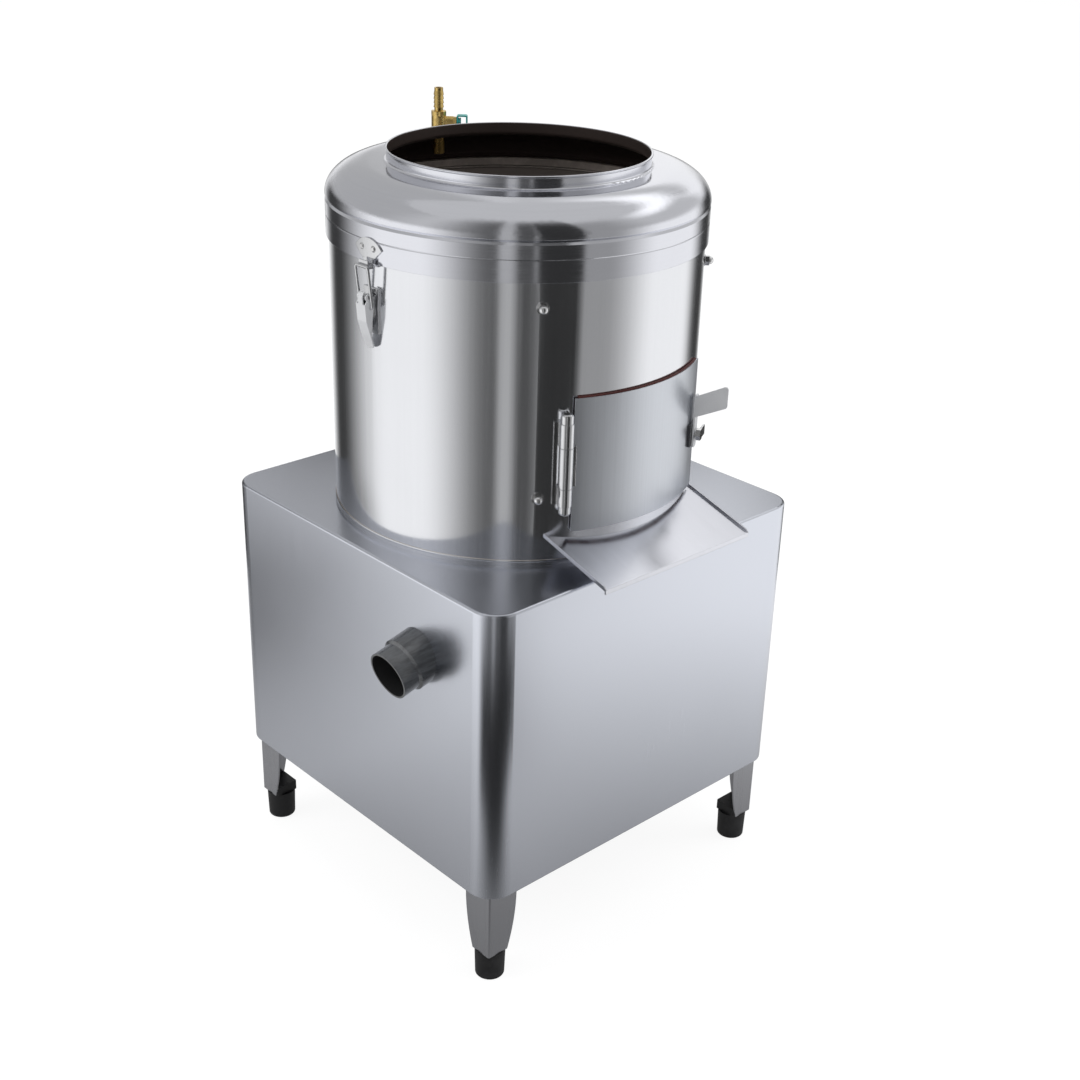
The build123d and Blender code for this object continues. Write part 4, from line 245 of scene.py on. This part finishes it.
def satin(name, colour):
    """Blasted steel, which scatters most of its light."""
    t = Tree(name)
    blast = t.noise(1100, detail=3)
    cloud = t.noise(30, detail=4)
    t.set("Base Color", t.blend(cloud, 0.35, 0.65, shade(colour, 0.96), shade(colour, 1.04)))
    t.set("Metallic", 0.25)
    t.set("Roughness", t.vary(cloud, 0.38, 0.46))
    t.set("Normal", t.bump(blast, 0.00003, under=t.soft_edges(0.0006)))
    return t.material


def rubber(name, colour, roughness=0.72):
    """Rubber with fine pebbles and paler dust."""
    t = Tree(name)
    pebble = t.noise(900, detail=3)
    dust = t.noise(30, detail=5, roughness=0.7)
    dusty = shade(tuple(c + 0.012 for c in colour), 1.5)
    t.set("Base Color", t.blend(dust, 0.45, 0.75, colour, dusty))
    t.set("Roughness", t.vary(dust, roughness - 0.12, roughness + 0.1))
    t.set("Specular IOR Level", 0.4)
    t.set("Normal", t.bump(pebble, 0.00012, under=t.soft_edges(0.0008)))
    return t.material


def plastic(name, colour, roughness=0.42, depth=0.00004):
    """Moulded plastic with flow marks."""
    t = Tree(name)
    fine = t.noise(1400, detail=2)
    flow = t.noise(18, (1, 1, 3), detail=4, roughness=0.6, distortion=0.8)
    t.set("Base Color", t.blend(flow, noise_low, noise_high, shade(colour, 0.9), shade(colour, 1.12)))
    t.set("Roughness", t.vary(flow, roughness - 0.06, roughness + 0.1))
    t.set("Normal", t.bump(fine, depth, under=t.soft_edges(0.0006)))
    return t.material


def wet_plastic(name, colour, roughness):
    """The drain's glossy plastic, with streaks along it. Its bore is painted near-black as painted shade, and
    is rougher.
    """
    fall = math.radians(15)
    bore_place, bore_way = (-0.23, -0.113, 0.373), (-math.cos(fall), 0, -math.sin(fall))
    bore_radius, bore_painted_shade, bore_roughness = 0.0253, (0.012, 0.012, 0.013), 0.4
    t = Tree(name)
    streak = t.noise(1, (20, 160, 160), detail=4, roughness=0.6, distortion=0.3)
    cloud = t.noise(40, detail=4, roughness=0.6)
    tone = t.blend(streak, 0.35, 0.65, shade(colour, 0.75), shade(colour, 1.5))
    # The bore is painted near-black: painted shade inside the spout
    bore = t.math("LESS_THAN", t.axis_distance(bore_place, bore_way), bore_radius)
    t.set("Base Color", t.mix(bore, tone, bore_painted_shade))
    t.set("Roughness", t.math("ADD", t.vary(cloud, roughness - 0.05, roughness + 0.09),
                              t.math("MULTIPLY", bore, bore_roughness)))
    t.set("Specular IOR Level", 0.9)
    t.set("Coat Weight", 0.6)
    t.set("Coat Roughness", 0.08)
    t.set("Normal", t.bump(streak, 0.00012, under=t.soft_edges(0.0008)))
    return t.material


def paint(name, colour, roughness=0.38):
    """Paint with orange peel and paler worn places."""
    t = Tree(name)
    peel = t.noise(420, detail=1)
    worn = t.noise(45, detail=6, roughness=0.7)
    t.set("Base Color", t.blend(worn, 0.5, 0.8, colour, shade(colour, 1.35)))
    t.set("Roughness", t.vary(worn, roughness - 0.06, roughness + 0.12))
    t.set("Coat Weight", 0.15)
    t.set("Normal", t.bump(peel, 0.00008, under=t.soft_edges(0.0006)))
    return t.material


def casting(name, colour, roughness=0.55):
    """Cast iron with its rough skin."""
    t = Tree(name)
    skin = t.noise(260, detail=4, roughness=0.65)
    cloud = t.noise(22, detail=4)
    t.set("Base Color", t.blend(cloud, noise_low, noise_high, shade(colour, 0.8), shade(colour, 1.25)))
    t.set("Metallic", 0.85)
    t.set("Roughness", t.vary(skin, roughness - 0.12, roughness + 0.14))
    t.set("Normal", t.bump(skin, 0.0003, under=t.soft_edges(0.0008)))
    return t.material


def brass(name, colour, roughness=0.22):
    """Turned brass with darker tarnish."""
    t = Tree(name)
    turned = t.noise(1, (500, 500, 900), detail=3)
    tarnish = t.noise(80, detail=5, roughness=0.65)
    t.set("Base Color", t.blend(tarnish, 0.45, 0.75, colour, shade(colour, 0.62)))
    t.set("Metallic", 1.0)
    t.set("Roughness", t.vary(tarnish, roughness - 0.05, roughness + 0.16))
    t.set("Normal", t.bump(turned, 0.00006, under=t.soft_edges(0.0005)))
    return t.material


def grit(name, dark, light):
    """Abrasive coat: grains in clumps, paler where it is worn."""
    t = Tree(name)
    grains = t.cells(1500)
    clumps = t.noise(300, detail=4, roughness=0.7)
    wear = t.noise(16, detail=5, roughness=0.6)
    height = t.math("ADD", t.math("MULTIPLY", grains, 0.7), clumps)
    speck = t.blend(clumps, 0.42, 0.7, dark, light)
    t.set("Base Color", t.mix(t.spread(wear, 0.5, 0.8, 0, 0.6), speck, shade(light, 1.4)))
    t.set("Roughness", t.vary(clumps, 0.5, 0.9))
    t.set("Specular IOR Level", 0.6)
    t.set("Normal", t.bump(height, 0.0006))
    return t.material


# Grain is drawn with large numbers across its lines: upright ones, level ones and short upright ones
upright = (420, 420, 7)
level = (9, 9, 700)
short_grain = (300, 300, 90)
looks = {
    "housing": steel("housing", (0.735, 0.76, 0.83), 0.25, grain=(900, 900, 11), grain_depth=0.0000012,
                     rough_spread=0.018, edge=0.0010, tone_spread=0.012),
    "leg": steel("leg", (0.50, 0.505, 0.535), 0.30, grain=upright, grain_depth=0.000016,
                 rough_spread=0.07, edge=0.0012),
    "barrel": steel("barrel", (0.82, 0.83, 0.86), 0.13, grain=(260, 260, 3), grain_depth=0.000004,
                    rough_spread=0.03, wave=((9, 9, 2), 0.0011), tone_spread=0.02,
                    dull_and_shade_centre=(0, 0, 0.62), dull_and_shade_colour=(0.42, 0.37, 0.34)),
    # The cover's near-black inside colour is painted shade for its dark interior
    "cover": steel("cover", (0.775, 0.785, 0.835), 0.12, grain=level, grain_depth=0.000004,
                   rough_spread=0.03, wave=((7, 7, 5), 0.0010), tone_spread=0.02,
                   dull_and_shade_centre=(0, 0, 0.70), dull_and_shade_colour=(0.06, 0.045, 0.04)),
    "door": steel("door", (0.65, 0.675, 0.72), 0.34, grain=upright, grain_depth=0.000010,
                  rough_spread=0.04, wave=((8, 8, 3), 0.0008), edge=0.0008),
    "chute": steel("chute", (0.78, 0.79, 0.845), 0.24, grain=(120, 9, 9), grain_depth=0.000003,
                   rough_spread=0.03, edge=0.0008),
    "fitting": steel("fitting", (0.74, 0.745, 0.76), 0.14, grain=short_grain, grain_depth=0.00002,
                     edge=0.0007),
    "dark_fitting": steel("dark_fitting", (0.16, 0.16, 0.17), 0.22, grain=short_grain, grain_depth=0.00002,
                          edge=0.0007),
    "tab": satin("tab", (0.80, 0.81, 0.83)),
    "wire": steel("wire", (0.72, 0.725, 0.74), 0.16, grain=(500, 500, 500), grain_depth=0.00001, edge=0),
    "fastener": steel("fastener", (0.76, 0.76, 0.765), 0.10, grain=(700, 700, 700), grain_depth=0.00001,
                      rough_spread=0.04, edge=0.0004),
    "shaft": steel("shaft", (0.58, 0.585, 0.59), 0.24, grain=(60, 60, 1200), grain_depth=0.00002,
                   rough_spread=0.06),
    "pan": steel("pan", (0.55, 0.56, 0.575), 0.30, grain=(30, 300, 30), grain_depth=0.00002,
                 rough_spread=0.07, edge=0.0008),
    "foot": rubber("foot", (0.012, 0.012, 0.013), 0.5),
    "seal": rubber("seal", (0.085, 0.018, 0.015), 0.62),
    "gasket": rubber("gasket", (0.36, 0.31, 0.28), 0.5),
    "belt": rubber("belt", (0.022, 0.022, 0.022), 0.78),
    "drain": wet_plastic("drain", (0.060, 0.064, 0.070), 0.17),
    "box": plastic("box", (0.52, 0.53, 0.54), 0.4),
    "gland": plastic("gland", (0.03, 0.03, 0.03), 0.45),
    "start": plastic("start", (0.03, 0.38, 0.10), 0.22, depth=0.00001),
    "stop": plastic("stop", (0.58, 0.025, 0.02), 0.22, depth=0.00001),
    "handle": paint("handle", (0.02, 0.33, 0.30), 0.32),
    "rail": paint("rail", (0.16, 0.17, 0.18)),
    "motor": paint("motor", (0.10, 0.145, 0.21)),
    "casting": casting("casting", (0.20, 0.20, 0.21)),
    "brass": brass("brass", (0.78, 0.56, 0.20)),
    "liner": grit("liner", (0.030, 0.020, 0.017), (0.115, 0.085, 0.075)),
    "disc": grit("disc", (0.035, 0.026, 0.024), (0.13, 0.10, 0.09)),
}

wears = {
    "housing": ["base_housing"],
    "leg": ["leg_front_left", "leg_front_right", "leg_rear_left", "leg_rear_right"],
    "barrel": ["barrel_shell"],
    "cover": ["cover_dome"],
    "door": ["door_panel"],
    "chute": ["chute"],
    "pan": ["barrel_floor"],
    "fitting": ["hinge_fixed_leaf", "hinge_door_leaf", "hinge_pin", "latch_keeper", "cover_keepers",
                "draw_latch_base_left", "draw_latch_base_right"],
    "tab": ["door_latch_lever", "draw_latch_lever_left", "draw_latch_lever_right"],
    "dark_fitting": ["door_latch_base"],
    "wire": ["draw_latch_bail_left", "draw_latch_bail_right"],
    "fastener": ["liner_fasteners", "door_latch_bolt", "cover_rivets", "draw_latch_rivets", "drive_bolts",
                 "disc_nut"],
    "shaft": ["shaft_bearings", "drive_shaft", "motor_shaft"],
    "foot": ["foot_front_left", "foot_front_right", "foot_rear_left", "foot_rear_right"],
    "seal": ["door_seal"],
    "gasket": ["cover_gasket"],
    "belt": ["drive_belt", "shaft_seal"],
    "drain": ["drain_elbow", "drain_spout", "drain_locknut"],
    "box": ["switch_box"],
    "gland": ["cable_gland"],
    "start": ["start_button"],
    "stop": ["stop_button"],
    "handle": ["valve_handle"],
    "rail": ["frame_rails", "drive_plate"],
    "motor": ["motor_body"],
    "casting": ["bearing_housing", "driven_pulley", "motor_pulley"],
    "brass": ["valve_body", "hose_barb"],
    "liner": ["liner_left", "liner_rear", "liner_front"],
    "disc": ["peeling_disc"],
}

for look, members in wears.items():
    for member in members:
        mesh = nodes[member].data
        if not mesh.materials:
            mesh.materials.append(looks[look])
        for index in range(len(mesh.materials)):
            mesh.materials[index] = looks[look]


# Studio: a pale floor, white surroundings, soft lamps, and cards that only reflections see

floor_half_side = 9
floor_drop = 0.0004  # keeps the floor's face clear of the feet
floor_colour = (0.85, 0.85, 0.86, 1)
floor_white, floor_white_share = 1.15, 0.78
# Reflections see the floor shaded at these places
floor_shades = (
    dict(x=0, y=0, inner=0.26, outer=0.95, tone=0.28),  # round the machine
    dict(x=-0.43, y=-0.55, inner=0.16, outer=0.42, tone=0.08),  # before its front corner
    dict(x=-0.47, y=0.76, inner=0.12, outer=0.52, tone=0.22),  # behind its left side
)


def stage_object(name, mesh, material):
    mesh.materials.append(material)
    thing = bpy.data.objects.new(name, mesh)
    scene.collection.objects.link(thing)
    return thing


def emission(t, strength):
    node = t.add("ShaderNodeEmission")
    if isinstance(strength, (int, float)):
        node.inputs["Strength"].default_value = strength
    else:
        t.link(strength, node.inputs["Strength"])
    return node.outputs[0]


def floor_material():
    """Pale to light, nearly white to the camera, and shaded in places to reflections."""
    t = Tree("studio_floor")
    rays = t.add("ShaderNodeLightPath").outputs
    pale = t.add("ShaderNodeBsdfDiffuse")
    pale.inputs["Color"].default_value = floor_colour
    pale = pale.outputs[0]
    seen = t.mix_shaders(floor_white_share, pale, emission(t, floor_white))
    tone = None
    for spot in floor_shades:
        away = t.floor_distance(spot["x"], spot["y"])
        shaded = t.spread(away, spot["inner"], spot["outer"], spot["tone"], 1.0)
        tone = shaded if tone is None else t.math("MULTIPLY", tone, shaded)
    mirrors = t.math("MAXIMUM", rays["Is Glossy Ray"], rays["Is Transmission Ray"])
    other = t.mix_shaders(mirrors, pale, emission(t, tone))
    t.only_surface(t.mix_shaders(rays["Is Camera Ray"], other, seen))
    return t.material


def make_floor():
    low, high = -floor_half_side, floor_half_side
    corners = [(x, y, -floor_drop) for x, y in ((low, low), (high, low), (high, high), (low, high))]
    mesh = bpy.data.meshes.new("studio_floor")
    mesh.from_pydata(corners, [], [(0, 1, 2, 3)])
    stage_object("studio_floor", mesh, floor_material())


def card_material(name, tone):
    """Light of one tone, which is clear where the mesh's fade is 0."""
    t = Tree(name)
    fade = t.add("ShaderNodeAttribute", attribute_name="fade").outputs["Fac"]
    clear = t.add("ShaderNodeBsdfTransparent").outputs[0]
    t.only_surface(t.mix_shaders(fade, clear, emission(t, tone)))
    return t.material


def stage_card(name, tone, points, faces, fades):
    mesh = bpy.data.meshes.new(name)
    mesh.from_pydata(points, [], faces)
    mesh.attributes.new("fade", "FLOAT", "POINT").data.foreach_set("value", fades)
    thing = stage_object(name, mesh, card_material(name, tone))
    thing.visible_camera = False
    thing.visible_diffuse = False
    thing.visible_shadow = False
    thing.visible_transmission = False


def ease(x):
    x = max(0.0, min(1.0, x))
    return x * x * (3 - 2 * x)


def edge_fade(inset, width):
    """0 at an edge and 1 where the fade's width is passed."""
    return ease(inset / width if width else 1)


def card(name, tone, radius, arc, rise, fades):
    """A curved card round the machine. arc is its two azimuths in degrees and rise its two heights in metres.
    fades are the widths over which it fades out at the two azimuths and at the two heights."""
    across, up = 60, 16
    start, end = arc
    low, high = rise
    soft_start, soft_end, soft_low, soft_high = fades
    points, faces, values = [], [], []
    for j in range(up + 1):
        z = low + (high - low) * j / up
        for i in range(across + 1):
            azimuth = start + (end - start) * i / across
            turn = math.radians(azimuth)
            points.append((radius * math.sin(turn), -radius * math.cos(turn), z))
            values.append(edge_fade(azimuth - start, soft_start) * edge_fade(end - azimuth, soft_end)
                          * edge_fade(z - low, soft_low) * edge_fade(high - z, soft_high))
    for j in range(up):
        for i in range(across):
            a = j * (across + 1) + i
            faces.append((a, a + 1, a + across + 2, a + across + 1))
    stage_card(name, tone, points, faces, values)


def cover_card(name, tone, radius, height):
    """A round card over the machine."""
    count = 48
    turns = [2 * math.pi * i / count for i in range(count)]
    points = [(radius * math.cos(a), radius * math.sin(a), height) for a in turns]
    stage_card(name, tone, points, [tuple(range(count))], [1.0] * count)


def lamp(name, place, side, power):
    """A square lamp that looks at the machine's middle and has no reflection."""
    target = Vector((0, 0, 0.5))
    data = bpy.data.lights.new(name, "AREA")
    data.shape = "RECTANGLE"
    data.size, data.size_y, data.energy = side, side, power
    thing = bpy.data.objects.new(name, data)
    scene.collection.objects.link(thing)
    thing.location = place
    thing.rotation_mode = "QUATERNION"
    thing.rotation_quaternion = (target - Vector(place)).to_track_quat("-Z", "Y")
    thing.visible_camera = False
    thing.visible_glossy = False


def make_world():
    """White to the camera and in reflections, a softer light elsewhere."""
    light_strength, white_strength = 0.62, 1.0
    world = bpy.data.worlds.new("studio")
    scene.world = world
    world.use_nodes = True
    tree = world.node_tree
    plain = tree.nodes["Background"]
    white = tree.nodes.new("ShaderNodeBackground")
    for background, strength in ((plain, light_strength), (white, white_strength)):
        background.inputs["Color"].default_value = (1, 1, 1, 1)
        background.inputs["Strength"].default_value = strength
    rays = tree.nodes.new("ShaderNodeLightPath")
    sees_white = rays.outputs["Is Camera Ray"]
    for kind in ("Is Glossy Ray", "Is Transmission Ray"):
        larger = tree.nodes.new("ShaderNodeMath")
        larger.operation = "MAXIMUM"
        tree.links.new(sees_white, larger.inputs[0])
        tree.links.new(rays.outputs[kind], larger.inputs[1])
        sees_white = larger.outputs[0]
    mixed = tree.nodes.new("ShaderNodeMixShader")
    tree.links.new(sees_white, mixed.inputs["Fac"])
    tree.links.new(plain.outputs[0], mixed.inputs[1])
    tree.links.new(white.outputs[0], mixed.inputs[2])
    tree.links.new(mixed.outputs[0], tree.nodes["World Output"].inputs["Surface"])


make_world()
make_floor()
card("card_front_left", tone=0.12, radius=0.95, arc=(-96, -49.5), rise=(0, 3.2), fades=(42, 3.5, 0, 1.7))
card("card_front_gap", tone=0.46, radius=1.05, arc=(-56, -40), rise=(0, 3.2), fades=(4, 4, 0, 1.7))
card("card_front_middle", tone=0.085, radius=0.95, arc=(-45.5, -30), rise=(0, 3.2), fades=(5, 4, 0, 1.7))
card("card_front_right", tone=0.033, radius=0.94, arc=(-34, -4), rise=(0, 3.2), fades=(4, 5, 0, 1.7))
card("card_right", tone=0.33, radius=1.00, arc=(-9, 42), rise=(0, 2.4), fades=(5, 36, 0, 0.9))
card("card_rear_left", tone=0.05, radius=0.95, arc=(-198, -119), rise=(0, 1.02), fades=(25, 46, 0, 0.20))
card("card_rear_right", tone=0.05, radius=0.95, arc=(70, 122), rise=(0, 1.02), fades=(20, 24, 0, 0.20))
card("card_behind", tone=0.08, radius=0.96, arc=(108, 172), rise=(0.50, 0.88), fades=(16, 16, 0.08, 0.12))
card("card_glow_right", tone=1.3, radius=1.90, arc=(30, 138), rise=(1.9, 3.2), fades=(40, 30, 0.5, 0.6))
card("card_low_corner", tone=0.02, radius=0.62, arc=(-82, 14), rise=(0, 0.30), fades=(14, 10, 0, 0.14))
card("card_high_left", tone=0.46, radius=2.36, arc=(-222, -96), rise=(0.9, 4.0), fades=(12, 34, 0.5, 0))
card("card_high", tone=0.58, radius=2.40, arc=(-222, 102), rise=(0.9, 4.1), fades=(12, 12, 0.5, 0))
card("card_high_behind", tone=0.58, radius=2.38, arc=(92, 148), rise=(1.72, 4.1), fades=(12, 12, 0.25, 0))
cover_card("card_top", tone=0.58, radius=2.45, height=4.1)
lamp("softbox_left", (-2.3, 1.1, 2.3), side=1.6, power=22)
lamp("softbox_right", (2.2, -1.6, 2.0), side=1.6, power=20)
lamp("softbox_top", (0.2, 0.2, 3.2), side=2.0, power=16)
